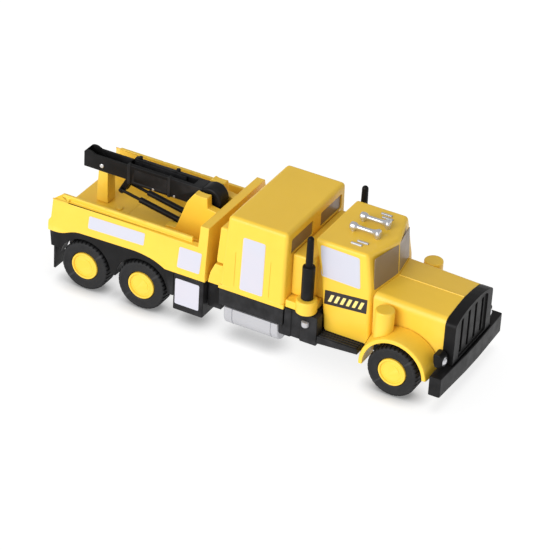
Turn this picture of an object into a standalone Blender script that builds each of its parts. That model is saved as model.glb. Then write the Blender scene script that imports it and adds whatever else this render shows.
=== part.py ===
"""Toy tow truck: a wrecker with a three-axle chassis, an open bed, a sleeper, a cab and a long hood.

The boom lifts on a pin between two tower plates, its inner section slides out to the rear, and a
pair of sliding struts follows the lift.  Lengths are in millimetres and become metres where a mesh
or a location is made.  X points to the front and is counted from the rear axle, Y points to the
left and is counted from the middle, and Z is the height above the ground.  The "truck" empty moves
the whole model so that its origin is the middle of its footprint.
"""
import math

import bmesh
import bpy
from mathutils import Matrix, Vector

MM = 0.001
GAP = 0.3
MERGE = 0.02

# Overall places along X.
REAR_END = -29.5
FRONT_END = 272.5
MIDDLE_AXLE = 44.8
FRONT_AXLE = 235.0
TRUCK_ORIGIN = (REAR_END + FRONT_END) / 2

# Wheels.
TYRE_RADIUS = 18.3
TYRE_OUTSIDE = 44.8
TYRE_INSIDE = 31.3
HUB_RADIUS = 10.0
HUB_FACE = 45.0
AXLE_RADIUS = 1.5
AXLE_HALF = 41.0
BEARING_RADIUS = 1.58
WHEEL_SIDES = 28

# Chassis heights and widths.
KEEL_LOW = 14.0
KEEL_HALF = 24.0
FRONT_RAIL_HALF = 22.0
FRONT_RAIL_TOP = 23.6
DECK_TOP = 43.7
BAND_LOW = 23.7
BAND_TOP = 36.4
ARCH_RADIUS = 20.4

# Bed.
BED_HALF = 45.0
BED_WALL_INSIDE = 36.0
BED_LOW = 38.0
BED_WALL_TOP = 61.5
BED_LEAN = ((BED_HALF, 43.0), (41.4, BED_WALL_TOP))
BED_FLOOR = 46.0
BED_REAR = -27.8
RAIL_OUTSIDE = 38.3
RAIL_TOP = 65.1
RAIL_ENDS = (-22.0, 79.6)
BULKHEAD = (86.0, 94.0)
BULKHEAD_TOP = 76.3
BED_EDGE = ((REAR_END, 38.0), (-19.0, 38.0), (-8.0, 43.2), (42.0, 44.2), (54.0, 42.4), (63.0, 38.0))

# Sleeper, cab and hood.
SLEEPER_LOW = 36.7
SLEEPER_TOP = 93.0
CAB_LOW = 24.0
CAB_BELT = 62.0
CAB_TOP = 89.9
LINK_ENDS = (152.5, 168.5)
LINK_HALF = 33.8
LINK_TOP = 75.6
HOOD_ENDS = (215.0, 262.2)
HOOD_SWEEP = 3.5
HOOD_HALF = 27.8
HOOD_LOW = 23.9
SHELL_WALL = 2.0

# Fender sections from the hood to the lip: y, half length and height of the arch.
FENDER_SECTIONS = ((28.3, 27.2, 31.0), (33.0, 26.4, 29.0), (40.0, 25.2, 26.0), (43.8, 24.9, 25.0),
                   (45.0, 24.2, 24.4))
FENDER_INSIDE = 21.8
FENDER_STEPS = 16

# Boom: pivot, sleeve and inner section.
PIVOT = Vector((73.2, 0.0, 75.5))
PIVOT_PIN_RADIUS = 2.0
PIVOT_BORE = 2.08
DRUM_RADIUS = 9.3
SLEEVE_X = (9.0, 68.0)
SLEEVE_HALF = 6.2
SLEEVE_Z = (68.5, 83.2)
CAVITY_HALF = 5.3
CAVITY_Z = (69.9, 81.9)
CAVITY_END = 60.0
INNER_X = (-26.0, 50.0)
INNER_HALF = 5.0
INNER_Z = (70.2, 81.6)
INNER_WALL = 1.4
TIP_PIN = Vector((-11.8, 0.0, 74.2))
TIP_PIN_RADIUS = 1.6

# Tower and struts.
TOWER_INSIDE = 8.4
TOWER_OUTSIDE = 12.2
STRUT_BASE = Vector((57.0, 0.0, 51.2))
STRUT_HEAD = Vector((4.2, 0.0, 61.2))
STRUT_Y = 5.6
BARREL_RADIUS = 2.1
BARREL_BORE = 1.4
ROD_RADIUS = 1.1
BASE_PIN_RADIUS = 1.5
HEAD_BAR_RADIUS = 1.1
HEAD_SLOT = (Vector((0.02, 0.0, 0.12)), Vector((-0.5, 0.0, -1.85)))
HEAD_SLOT_LEAN = 76.4

STACK = (167.3, 38.6)
STACK_DECK_TOP = 44.0
STACK_BASE = (((152.9, 158.2), 42.0, 16.4), ((157.8, 165.6), 41.3, 16.7), ((165.2, 174.4), 42.2, 16.2))
COLLAR_TOP = 48.4
COLLAR_RADIUS = 7.3
LEFT_AND_RIGHT = ((1, "left"), (-1, "right"))

YELLOW = ((0.98, 0.72, 0.06), 0.38, 0.0)
BLACK = ((0.022, 0.022, 0.025), 0.45, 0.0)
RUBBER = ((0.03, 0.03, 0.033), 0.7, 0.0)
SILVER = ((0.72, 0.72, 0.74), 0.32, 0.8)
STEEL = ((0.78, 0.78, 0.78), 0.25, 1.0)


def clear_scene():
    for obj in list(bpy.data.objects):
        bpy.data.objects.remove(obj, do_unlink=True)


def new_collection(name):
    collection = bpy.data.collections.new(name)
    bpy.context.scene.collection.children.link(collection)
    return collection


class Frame:
    """An empty that carries parts, and its place in truck coordinates."""

    def __init__(self, name, origin, parent=None):
        self.origin = Vector(origin)
        self.empty = bpy.data.objects.new(name, None)
        self.empty.empty_display_size = 10 * MM
        PARTS.objects.link(self.empty)
        if parent:
            self.empty.parent = parent.empty
            self.empty.location = (self.origin - parent.origin) * MM
        else:
            self.empty.location = (-TRUCK_ORIGIN * MM, 0, 0)


# Shapes.  Each one returns a bmesh in truck coordinates, in millimetres.

def block(x, y, z, edge=0.0, steps=2):
    """A box between the given pairs of limits, with rounded edges where an edge radius is given."""
    shape = bmesh.new()
    size = Vector((x[1] - x[0], y[1] - y[0], z[1] - z[0]))
    middle = Vector((x[0] + x[1], y[0] + y[1], z[0] + z[1])) / 2
    bmesh.ops.create_cube(shape, size=1.0)
    bmesh.ops.scale(shape, vec=size, verts=shape.verts)
    bmesh.ops.translate(shape, vec=middle, verts=shape.verts)
    round_edges(shape, edge, steps)
    return shape


def tapered_block(low, high, edge=0.0, steps=3):
    """A box whose top is another rectangle; low and high are (x limits, y limits, height)."""
    shape = block(low[0], low[1], (low[2], high[2]))
    for vert in shape.verts:
        if vert.co.z > low[2] + MERGE:
            vert.co.x = high[0][0] if vert.co.x < sum(low[0]) / 2 else high[0][1]
            vert.co.y = high[1][0] if vert.co.y < sum(low[1]) / 2 else high[1][1]
    round_edges(shape, edge, steps)
    return shape


def round_edges(shape, radius, steps, edges=None):
    if radius:
        bmesh.ops.bevel(shape, geom=list(edges or shape.edges), offset=radius, segments=steps,
                        profile=0.5, affect='EDGES', clamp_overlap=True)


def axis_turn(axis):
    """The rotation that takes Z to the named axis."""
    turns = {"X": Matrix.Rotation(math.pi / 2, 3, 'Y'), "Y": Matrix.Rotation(-math.pi / 2, 3, 'X'),
             "Z": Matrix.Identity(3)}
    return turns[axis]


def rod(start, end, radius, sides=20, edge=0.0):
    """A cylinder from start to end."""
    start = Vector(start)
    end = Vector(end)
    shape = bmesh.new()
    bmesh.ops.create_cone(shape, cap_ends=True, segments=sides, radius1=radius, radius2=radius,
                          depth=(end - start).length)
    if edge:
        rims = [e for e in shape.edges if abs(e.verts[0].co.z - e.verts[1].co.z) < MERGE]
        round_edges(shape, edge, 2, rims)
    turn = Vector((0, 0, 1)).rotation_difference(end - start).to_matrix()
    bmesh.ops.rotate(shape, cent=(0, 0, 0), matrix=turn, verts=shape.verts)
    bmesh.ops.translate(shape, vec=(start + end) / 2, verts=shape.verts)
    return shape


def plate(outline, axis, low, high):
    """A flat outline with thickness along an axis.

    Along Y the outline's points are (x, z), along X they are (y, z) and along Z they are (x, y).
    """
    curve = bpy.data.curves.new("outline", 'CURVE')
    curve.dimensions = '2D'
    curve.fill_mode = 'BOTH'
    curve.extrude = abs(high - low) / 2
    spline = curve.splines.new('POLY')
    spline.points.add(len(outline) - 1)
    for point, place in zip(spline.points, outline):
        point.co = (place[0], place[1], 0, 1)
    spline.use_cyclic_u = True
    holder = bpy.data.objects.new("outline", curve)
    bpy.context.scene.collection.objects.link(holder)
    mesh = bpy.data.meshes.new_from_object(holder.evaluated_get(bpy.context.evaluated_depsgraph_get()))
    shape = bmesh.new()
    shape.from_mesh(mesh)
    bpy.data.objects.remove(holder)
    bpy.data.curves.remove(curve)
    bpy.data.meshes.remove(mesh)
    bmesh.ops.remove_doubles(shape, verts=shape.verts, dist=MERGE)
    columns = {"X": ((0, 1, 0), (0, 0, 1), (1, 0, 0)), "Y": ((1, 0, 0), (0, 0, 1), (0, -1, 0)),
               "Z": ((1, 0, 0), (0, 1, 0), (0, 0, 1))}
    turn = Matrix(columns[axis]).transposed()
    middle = (low + high) / 2
    shift = {"X": (middle, 0, 0), "Y": (0, middle, 0), "Z": (0, 0, middle)}
    bmesh.ops.rotate(shape, cent=(0, 0, 0), matrix=turn, verts=shape.verts)
    bmesh.ops.translate(shape, vec=shift[axis], verts=shape.verts)
    bmesh.ops.recalc_face_normals(shape, faces=shape.faces)
    return shape


def loft(rings):
    """A closed body through rings of equally many points, with a face over each end ring."""
    shape = bmesh.new()
    rows = [[shape.verts.new(point) for point in ring] for ring in rings]
    count = len(rows[0])
    for lower, upper in zip(rows, rows[1:]):
        for i in range(count):
            j = (i + 1) % count
            shape.faces.new((lower[i], lower[j], upper[j], upper[i]))
    shape.faces.new(rows[0])
    shape.faces.new(rows[-1])
    bmesh.ops.recalc_face_normals(shape, faces=shape.faces)
    return shape


def arc(centre, radius, start, end, steps):
    """Points on a circle from one angle to another, both in degrees."""
    points = []
    for i in range(steps + 1):
        angle = math.radians(start + (end - start) * i / steps)
        points.append((centre[0] + radius * math.cos(angle), centre[1] + radius * math.sin(angle)))
    return points


def rounded(outline, radius, steps=4):
    """The outline with each corner replaced by an arc that starts at most radius from the corner."""
    points = []
    count = len(outline)
    for i in range(count):
        corner = Vector(outline[i])
        before = Vector(outline[i - 1]) - corner
        after = Vector(outline[(i + 1) % count]) - corner
        reach = min(radius, before.length / 2, after.length / 2)
        start = corner + before.normalized() * reach
        end = corner + after.normalized() * reach
        for k in range(steps + 1):
            t = k / steps
            point = start * (1 - t) ** 2 + corner * 2 * t * (1 - t) + end * t ** 2
            points.append((point.x, point.y))
    return points


def together(*shapes):
    """One bmesh that holds several shapes which stay clear of each other."""
    whole = bmesh.new()
    for shape in shapes:
        piece = bpy.data.meshes.new("piece")
        shape.to_mesh(piece)
        shape.free()
        whole.from_mesh(piece)
        bpy.data.meshes.remove(piece)
    return whole


def mirrored(shape):
    """The shape and its mirror image on the other side of the truck."""
    other = shape.copy()
    bmesh.ops.scale(other, vec=(1, -1, 1), verts=other.verts)
    bmesh.ops.reverse_faces(other, faces=other.faces)
    return together(shape, other)


# Objects.

def paint(obj, finish):
    colour, roughness, metallic = finish
    material = bpy.data.materials.new(obj.name + "_finish")
    material.use_nodes = True
    shader = material.node_tree.nodes["Principled BSDF"]
    shader.inputs["Base Color"].default_value = (*colour, 1.0)
    shader.inputs["Roughness"].default_value = roughness
    shader.inputs["Metallic"].default_value = metallic
    obj.data.materials.append(material)


def mesh_object(name, shape, origin, frame, collection):
    origin = Vector(origin)
    bmesh.ops.translate(shape, vec=-origin, verts=shape.verts)
    bmesh.ops.scale(shape, vec=(MM, MM, MM), verts=shape.verts)
    mesh = bpy.data.meshes.new(name)
    shape.to_mesh(mesh)
    shape.free()
    obj = bpy.data.objects.new(name, mesh)
    collection.objects.link(obj)
    obj.parent = frame.empty
    obj.location = (origin - frame.origin) * MM
    return obj


def part(name, shape, finish, origin, frame, smooth=False):
    obj = mesh_object(name, shape, origin, frame, PARTS)
    paint(obj, finish)
    if smooth:
        obj.data.shade_smooth()
        obj.data.set_sharp_from_angle(angle=math.radians(35))
    return obj


def boolean(obj, shape, operation, frame):
    tool = mesh_object(obj.name + "_" + operation.lower(), shape, frame.origin, frame, CUTTERS)
    tool.hide_render = True
    tool.display_type = 'WIRE'
    modifier = obj.modifiers.new(operation.lower(), 'BOOLEAN')
    modifier.operation = operation
    modifier.object = tool


def cut(obj, shape, frame):
    boolean(obj, shape, 'DIFFERENCE', frame)


def add(obj, shape, frame):
    boolean(obj, shape, 'UNION', frame)


def turned(name, profile, finish, origin, axis, frame, sides, closed=False):
    """A profile of (radius, height) points turned about an axis through the origin.

    The points run down the outer side from top to bottom; a closed profile makes a ring.
    """
    mesh = bpy.data.meshes.new(name)
    count = len(profile)
    edges = [(i, i + 1) for i in range(count - 1)]
    if closed:
        edges.append((count - 1, 0))
    mesh.from_pydata([(r * MM, 0, h * MM) for r, h in profile], edges, [])
    obj = bpy.data.objects.new(name, mesh)
    PARTS.objects.link(obj)
    obj.parent = frame.empty
    obj.location = (Vector(origin) - frame.origin) * MM
    obj.rotation_euler = axis_turn(axis).to_euler()
    screw = obj.modifiers.new("turn", 'SCREW')
    screw.steps = sides
    screw.render_steps = sides
    screw.use_merge_vertices = True
    screw.merge_threshold = MERGE * MM
    screw.use_smooth_shade = True
    paint(obj, finish)
    return obj


# Chassis.

def bed_edge(drop=0.0):
    """The wavy lower edge of the bed's side wall, lowered by a gap."""
    return [(x, z - drop) for x, z in BED_EDGE]


def make_chassis(truck):
    keel = block((-25, 152.6), (-KEEL_HALF, KEEL_HALF), (KEEL_LOW, BAND_TOP))
    chassis = part("chassis", keel, BLACK, (60, 0, 25), truck)
    front_rail = block((150, 262.5), (-FRONT_RAIL_HALF, FRONT_RAIL_HALF), (KEEL_LOW, FRONT_RAIL_TOP))
    deck_half = BED_WALL_INSIDE - GAP
    deck = block((BED_REAR + 4, BULKHEAD[0] - GAP), (-deck_half, deck_half), (BED_LOW, DECK_TOP))
    spine = block((BED_REAR + 4.5, BULKHEAD[0] - 1), (-KEEL_HALF, KEEL_HALF), (30, BED_LOW + 1))
    rear_panel = block((-27, -23), (-41, 41), (26, BED_LOW - GAP))
    band = block((103.6, 152.4), (-42.6, 42.6), (BAND_LOW, BAND_TOP), 0.5, 1)
    waist = block((93.6, 104), (-39, 39), (17, BAND_TOP - 0.4))
    tank_end = block((149.7, 153.6), (-41.8, 41.8), (16.5, BAND_LOW + 1))
    for shape in (spine, front_rail, deck, rear_panel, band, waist, tank_end):
        add(chassis, shape, truck)
    for ends, half, low in STACK_BASE:
        add(chassis, block(ends, (-half, half), (low, 37.9), 0.5, 1), truck)
    cab_floor = block((175.5, 208), (-31.6, 31.6), (19, FRONT_RAIL_TOP))
    add(chassis, cab_floor, truck)
    corner = block((173, 177.6), (34, 42.2), (16.2, 37.9), 0.5, 1)
    add(chassis, mirrored(corner), truck)
    skirt = [(-27.2, 26), (-28.3, BED_LOW - GAP)] + rounded(bed_edge(GAP), 5)[5:-5]
    skirt += [(63.0, BED_LOW - GAP), (69.6, BED_LOW - GAP), (69.6, 19), (-20, 19), (-20, 26)]
    add(chassis, mirrored(plate(skirt, "Y", 34.5, 44.2)), truck)
    arches = [rod((x, 24.5, TYRE_RADIUS), (x, 47, TYRE_RADIUS), ARCH_RADIUS, 40) for x in (0, MIDDLE_AXLE)]
    for arch in arches:
        cut(chassis, mirrored(arch), truck)
    cut(chassis, chassis_pockets(), truck)
    cut(chassis, axle_slots(), truck)
    holes = [rod((x, y, 12), (x, y, 22), 1.45, 12) for x, y in screw_places()]
    cut(chassis, together(*holes), truck)
    return chassis


def chassis_pockets():
    """The hollows under the chassis, which leave ribs for the axles and the screws."""
    pockets = []
    for start, end in ((-21, -7), (6, 16), (29, 38), (52, 69), (72, 90)):
        pockets.append(block((start, end), (-21, 21), (12, 40.7)))
    for start, end in ((97, 112), (115.5, 130.5), (134, 149)):
        pockets.append(block((start, end), (-21, 21), (12, 34.5)))
    for start, end in ((156, 172), (175, 190), (194, 208), (211, 225), (246, 260)):
        pockets.append(block((start, end), (-19.5, 19.5), (12, 21.6)))
    return together(*pockets)


def axle_slots():
    """Slots open to below, round at the top, in which the axles turn."""
    outline = [(-BEARING_RADIUS, 10), (BEARING_RADIUS, 10)]
    outline += arc((0, TYRE_RADIUS), BEARING_RADIUS, 0, 180, 12)
    slots = []
    for x in (0, MIDDLE_AXLE, FRONT_AXLE):
        slots.append(plate([(x + u, v) for u, v in outline], "Y", -30, 30))
    return together(*slots)


def screw_places():
    return [(x, y) for x in (22.4, FRONT_AXLE + 6.5) for y in (-12, 12)]


def make_axle_caps(truck):
    """Plates under the chassis whose tongues hold the axles up in their slots."""
    spans = (("bogie_cap", (-6, 51), (0, MIDDLE_AXLE)), ("front_axle_cap", (229, 244.5), (FRONT_AXLE,)))
    top = KEEL_LOW - GAP
    for name, span, axles in spans:
        cap = part(name, block(span, (-19, 19), (top - 1.7, top), 0.4, 1), BLACK,
                   (span[0], 0, top), truck)
        tongues = []
        for x in axles:
            tongues.append(block((x - 1.3, x + 1.3), (9, 17), (top - 1, TYRE_RADIUS - AXLE_RADIUS - 0.15)))
        add(cap, mirrored(together(*tongues)), truck)
        holes = [rod((x, y, 8), (x, y, 16), 1.6, 12) for x, y in screw_places() if span[0] < x < span[1]]
        cut(cap, together(*holes), truck)


def make_screws(truck):
    head_top = KEEL_LOW - GAP - 1.7 - GAP
    profile = ((0, 8.6), (1.1, 8.6), (1.1, 0.0), (2.7, 0.0), (2.7, -0.7), (1.9, -1.4), (0, -1.4))
    for x, y in screw_places():
        name = "screw_%s_%s" % ("front" if x > MIDDLE_AXLE else "rear", "left" if y > 0 else "right")
        turned(name, profile, STEEL, (x, y, head_top), "Z", truck, 16)


def make_side_boxes(truck):
    for side, word in LEFT_AND_RIGHT:
        y = sorted((side * (KEEL_HALF + GAP), side * 44.8))
        part("toolbox_" + word, block((70, 93), y, (9.2, BED_LOW - GAP), 0.8, 2), BLACK,
             (81.5, side * 35, 24), truck)
        outline = [(side * 25, BAND_LOW - GAP), (side * 43, BAND_LOW - GAP)]
        outline += arc((side * 34, 17), 9 * side, 0, -180 * side, 12)
        tank = plate(outline, "X", 108, 149.4)
        part("fuel_tank_" + word, tank, SILVER, (128.7, side * 34, 17), truck, smooth=True)
        profile = [(169.3 + u, side * (42.5 + v)) for u, v in arc((0, 0), 2.7, 0, 180, 12)]
        cap = plate(profile, "Z", 28.8, 33.4)
        part("side_cap_" + word, cap, SILVER, (169.3, side * 43, 31), truck, smooth=True)
        flap = block((-25.4, -23.8), sorted((side * 31.5, side * 43.6)), (8.1, 25.7), 0.3, 1)
        part("mudflap_" + word, flap, BLACK, (-24.6, side * 37, 17), truck)
        step = block((177.9, 208.0), sorted((side * 33.6, side * 42)), (17.8, 25.0), 0.5, 1)
        part("running_board_" + word, step, BLACK, (195, side * 38, 23), truck)


# Bed.

def make_bed(truck):
    floor = block((BED_REAR + 1, BULKHEAD[0] + 1), (-37, 37), (44.0, BED_FLOOR))
    bed = part("bed", floor, YELLOW, (30, 0, 45), truck)
    edge = rounded(bed_edge(), 5)
    wall = [(REAR_END, 45.5), (REAR_END, 38.0)] + edge[5:-5] + [(63.0, 38.0), (87.0, 38.0)]
    wall += [(87.0, BED_WALL_TOP), (BED_REAR, BED_WALL_TOP), (BED_REAR, 48.0)]
    add(bed, mirrored(plate(wall, "Y", BED_WALL_INSIDE, BED_HALF)), truck)
    cut(bed, mirrored(lean_cutter()), truck)
    sill = [(REAR_END, 45.5), (REAR_END, BED_LOW), (BED_REAR + 2, BED_LOW), (BED_REAR + 2, 45.9),
            (BED_REAR, BED_FLOOR)]
    add(bed, plate(sill, "Y", -BED_HALF + 1, BED_HALF - 1), truck)
    rail = block(RAIL_ENDS, (BED_WALL_INSIDE, RAIL_OUTSIDE), (BED_WALL_TOP - 1, RAIL_TOP), 0.5, 2)
    add(bed, mirrored(rail), truck)
    add(bed, mirrored(rear_corner()), truck)
    chamfer = [(-32, 41.2), (-28.4, 41.2), (RAIL_ENDS[0], 35.9), (RAIL_ENDS[0], 34), (-32, 34)]
    cut(bed, mirrored(plate(chamfer, "Z", 48.0, 70.0)), truck)
    rings = []
    top = ((85.5, 92.0), 38.5, BULKHEAD_TOP)
    sections = ((BULKHEAD, BED_HALF, BED_LOW), ((85.9, 93.7), BED_HALF, 43.0), top)
    for x, half, z in sections:
        rings.append([(x[0], -half, z), (x[1], -half, z), (x[1], half, z), (x[0], half, z)])
    bulkhead = loft(rings)
    round_edges(bulkhead, 1.2, 3)
    add(bed, bulkhead, truck)
    return bed


def lean_cutter():
    """The space outside a leaning side wall."""
    low, high = BED_LEAN
    lean = (high[0] - low[0]) / (high[1] - low[1])
    outline = [(low[0] - lean, low[1] - 1), (high[0] + lean, high[1] + 1)]
    outline += [(47, high[1] + 1), (47, low[1] - 1)]
    return plate(outline, "X", REAR_END - 2, BULKHEAD[0] + 2)


def rear_corner():
    """The slanted top of a side wall behind the rail."""
    inner = BED_WALL_INSIDE + 0.01
    rings = []
    for x, top in ((BED_REAR + 0.05, BED_WALL_TOP + 0.1), (RAIL_ENDS[0], RAIL_TOP), (-16.0, RAIL_TOP)):
        rings.append([(x, inner, 60.0), (x, inner, top), (x, 41.2, BED_WALL_TOP + 0.1), (x, 41.4, 60.0)])
    return loft(rings)


def make_tower(truck):
    """Two plates beside the boom on a thin base, with blind holes for the two pins."""
    base = block((44.6, 85.6), (-TOWER_OUTSIDE - 0.3, TOWER_OUTSIDE + 0.3), (BED_FLOOR + GAP, 47.8))
    tower = part("boom_tower", base, YELLOW, (70, 0, 47), truck)
    side = [(45.0, 47.0), (45.0, 51.5), (53.0, 52.0), (61.2, 75.0), (66.8, 83.2), (68.6, 82.4),
            (73.6, 82.2), (77.5, 83.0), (79.0, 75.3), (82.6, 69.5), (85.3, 66.0), (85.3, 47.0)]
    add(tower, mirrored(plate(rounded(side, 0.8, 2), "Y", TOWER_INSIDE, TOWER_OUTSIDE)), truck)
    pins = ((PIVOT, PIVOT_PIN_RADIUS + 0.1), (STRUT_BASE, BASE_PIN_RADIUS + 0.1))
    for place, radius in pins:
        hole = rod(place + Vector((0, -11.5, 0)), place + Vector((0, 11.5, 0)), radius, 20)
        cut(tower, hole, truck)


def make_rest_post(truck):
    top = INNER_Z[0] - GAP
    low = ((-15.4, -6.2), (-5.2, 5.2), BED_FLOOR + GAP)
    high = ((-14.4, -6.9), (-4.8, 4.8), top)
    part("boom_rest_post", tapered_block(low, high, 0.5, 2), YELLOW, (-10, 0, BED_FLOOR), truck)


# Sleeper, cab and front end.

def make_sleeper(truck):
    outer = tapered_block(((103.4, 152.4), (-43, 43), SLEEPER_LOW), ((107.2, 152.0), (-41, 41), SLEEPER_TOP),
                          2.8, 3)
    sleeper = part("sleeper", outer, YELLOW, (128, 0, 60), truck, smooth=True)
    wedge = []
    for x, y, z in ((94.7, 42.4, 37.9), (96.3, 42.4, 46.0), (98.8, 40.6, 52.6)):
        wedge.append([(x, 27, z), (x, y, z), (105.5, y, z), (105.5, 27, z)])
    add(sleeper, mirrored(loft(wedge)), truck)
    ledge = tapered_block(((99.7, 107), (-41.4, 41.4), 54.5), ((101.5, 109), (-40.4, 40.4), 82.0), 1.4, 3)
    add(sleeper, ledge, truck)
    wall = SHELL_WALL
    inside = tapered_block(((104 + wall, 152.2 - wall), (-42 + wall, 42 - wall), SLEEPER_LOW - 4),
                           ((107.2 + wall, 152 - wall), (-41 + wall, 41 - wall), SLEEPER_TOP - wall))
    cut(sleeper, inside, truck)


def cab_ring(height, rear, corner, nose, half_rear, half_front):
    """A five-sided section of the cab, whose front comes to a blunt point."""
    return [(rear, half_rear, height), (rear, -half_rear, height), (corner, -half_front, height),
            (nose, 0, height), (corner, half_front, height)]


def make_cab(truck):
    """The cab's shell with the lower link that reaches back to the sleeper."""
    rings = [cab_ring(CAB_LOW, 177.0, 211.0, 212.4, 32.0, 32.0),
             cab_ring(CAB_BELT - 6, 173.4, 209.8, 213.6, 31.2, 30.0),
             cab_ring(CAB_BELT + 1, 172.4, 209.3, 214.4, 31.0, 28.6),
             cab_ring(CAB_TOP, 165.8, 204.5, 213.0, 29.8, 28.2)]
    outer = loft(rings)
    lower_edges = [e for e in outer.edges if min(e.verts[0].co.z, e.verts[1].co.z) > CAB_LOW + MERGE
                   or abs(e.verts[0].co.z - e.verts[1].co.z) > MERGE]
    round_edges(outer, 1.8, 3, lower_edges)
    cab = part("cab", outer, YELLOW, (190, 0, 55), truck, smooth=True)
    wall = SHELL_WALL
    link_low = STACK_DECK_TOP + GAP
    add(cab, block(LINK_ENDS, (-LINK_HALF, LINK_HALF), (link_low, LINK_TOP), 1.0, 2), truck)
    add(cab, block((LINK_ENDS[1] - 4, 178), (-27, 27), (link_low, LINK_TOP - 1)), truck)
    inside = [cab_ring(CAB_LOW - 3, 179.2, 209.0, 210.0, 30.0, 30.0),
              cab_ring(CAB_BELT, 174.6, 207.0, 211.4, 29.0, 26.6),
              cab_ring(CAB_TOP - wall, 168.2, 202.2, 210.4, 27.8, 26.0)]
    cut(cab, loft(inside), truck)
    cut(cab, block((LINK_ENDS[0] + wall, 180), (-25, 25), (link_low - 1, LINK_TOP - 1 - wall)), truck)
    collar = rod((STACK[0], STACK[1], 40), (STACK[0], STACK[1], COLLAR_TOP + GAP), COLLAR_RADIUS + GAP, 32)
    cut(cab, mirrored(collar), truck)
    for side in (1, -1):
        cut(cab, fender_body(side, GAP), truck)


def hood_section(half, crown, shoulder):
    """The hood's cross-section from one lower edge over the crease to the other."""
    side = [(half, HOOD_LOW), (half, shoulder - 4)]
    side += arc((half - 5.5, shoulder - 5.0), 5.5, 12, 78, 4)
    return side + [(0, crown)] + [(-y, z) for y, z in reversed(side)]


def make_hood(truck):
    rows = []
    shape = bmesh.new()
    sections = ((HOOD_ENDS[0], HOOD_HALF, 63.0, 61.4), (HOOD_ENDS[1], 27.2, 62.6, 59.6))
    for x, half, crown, shoulder in sections:
        sweep = HOOD_SWEEP / half if x == HOOD_ENDS[0] else 0.0
        section = hood_section(half, crown, shoulder)
        rows.append([shape.verts.new((x - sweep * abs(y), y, z)) for y, z in section])
    for i in range(len(rows[0]) - 1):
        shape.faces.new((rows[0][i], rows[1][i], rows[1][i + 1], rows[0][i + 1]))
    bmesh.ops.recalc_face_normals(shape, faces=shape.faces)
    if max(shape.faces, key=lambda f: f.calc_center_median().z).normal.z < 0:
        bmesh.ops.reverse_faces(shape, faces=shape.faces)
    hood = part("hood", shape, YELLOW, (238, 0, 45), truck, smooth=True)
    shell = hood.modifiers.new("shell", 'SOLIDIFY')
    shell.thickness = SHELL_WALL * MM
    shell.offset = -1


def fender_arc(y, reach, rise):
    """Points on an elliptical arch over the front axle, from front to back."""
    points = []
    for i in range(FENDER_STEPS + 1):
        angle = math.radians(4 + (183 - 4) * i / FENDER_STEPS)
        points.append((FRONT_AXLE + reach * math.cos(angle), y, TYRE_RADIUS + rise * math.sin(angle)))
    return points


def fender_body(side, grow=0.0):
    """An arched fender, higher and longer at the hood than at its lip.

    With a growth it is the filled space that the fender and a gap around it take up.
    """
    rings = []
    for y, reach, rise in FENDER_SECTIONS:
        outer = fender_arc(side * y, reach + grow, rise + grow)
        if grow:
            inner = [(FRONT_AXLE - reach, side * y, 12.0), (FRONT_AXLE + reach, side * y, 12.0)]
        else:
            inner = fender_arc(side * y, FENDER_INSIDE, FENDER_INSIDE)[::-1]
        rings.append(outer + inner)
    return loft(rings)


def make_fenders(truck):
    for side, word in LEFT_AND_RIGHT:
        part("fender_" + word, fender_body(side), YELLOW, (FRONT_AXLE, side * 36, 40), truck, smooth=True)


def make_front_end(truck):
    for side, word in LEFT_AND_RIGHT:
        base = Vector((222.9, side * 34.9, 36.0))
        body = rod(base, base + Vector((0, 0, 23.6)), 6.6, 28, 0.8)
        canister = part("air_cleaner_" + word, body, YELLOW, base, truck, smooth=True)
        cut(canister, fender_body(side, GAP), truck)
        outline = [(261.6, 28.4), (266.4, 29.8), (267.2, 36.4), (264.0, 38.6), (259.6, 38.6), (260.0, 32.0)]
        lamp = plate(rounded(outline, 0.8, 2), "Y", *sorted((side * 29.0, side * 37.0)))
        part("headlight_" + word, lamp, BLACK, (263, side * 33, 34), truck)
    half = 28.4
    crown = [(half, 25.6), (half, 57.4), (20, 60.6), (10, 62.4), (0, 63.0)]
    outline = crown + [(-y, z) for y, z in reversed(crown[:-1])]
    grille = part("grille", plate(outline, "X", HOOD_ENDS[1] + GAP, 270.4), BLACK, (266, 0, 45), truck)
    slots = []
    for i in range(6):
        y = -18.75 + 7.5 * i
        slots.append(block((267.6, 272), (y - 2.6, y + 2.6), (29, 55.5)))
    cut(grille, together(*slots), truck)
    plan = [(262.8, -47.3), (271.2, -47.3), (272.5, -10), (272.5, 10), (271.2, 47.3), (262.8, 47.3)]
    bumper = part("bumper", plate(rounded(plan, 1.0, 2), "Z", 13.0, 27.3), BLACK, (268, 0, 20), truck)
    cut(bumper, block((262, 270.8), (-29, 29), (25.3, 29)), truck)


def make_stacks(truck):
    """Exhaust stacks on round collars that rise from the deck between sleeper and cab."""
    deck = block((152.9, 172.9), (-41.6, 41.6), (38.3, STACK_DECK_TOP), 0.6, 2)
    deck = part("stack_deck", deck, YELLOW, (163, 0, 41), truck, smooth=True)
    collar = rod((STACK[0], STACK[1], 38.5), (STACK[0], STACK[1], COLLAR_TOP), COLLAR_RADIUS, 32, 0.6)
    add(deck, mirrored(collar), truck)
    cut(deck, mirrored(block((172.6, 178), (20, 33.6), (36, 50))), truck)
    profile = [(0, 47.5)] + [(y, z + 45.1) for y, z in arc((0, 0), 2.4, 80, 0, 4)]
    profile += [(2.5, 25.5), (3.9, 24.9), (4.3, 24.3), (4.3, 0), (0, 0)]
    for side, word in LEFT_AND_RIGHT:
        foot = (STACK[0], side * STACK[1], COLLAR_TOP + GAP)
        turned("exhaust_" + word, profile, BLACK, foot, "Z", truck, 20)


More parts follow.
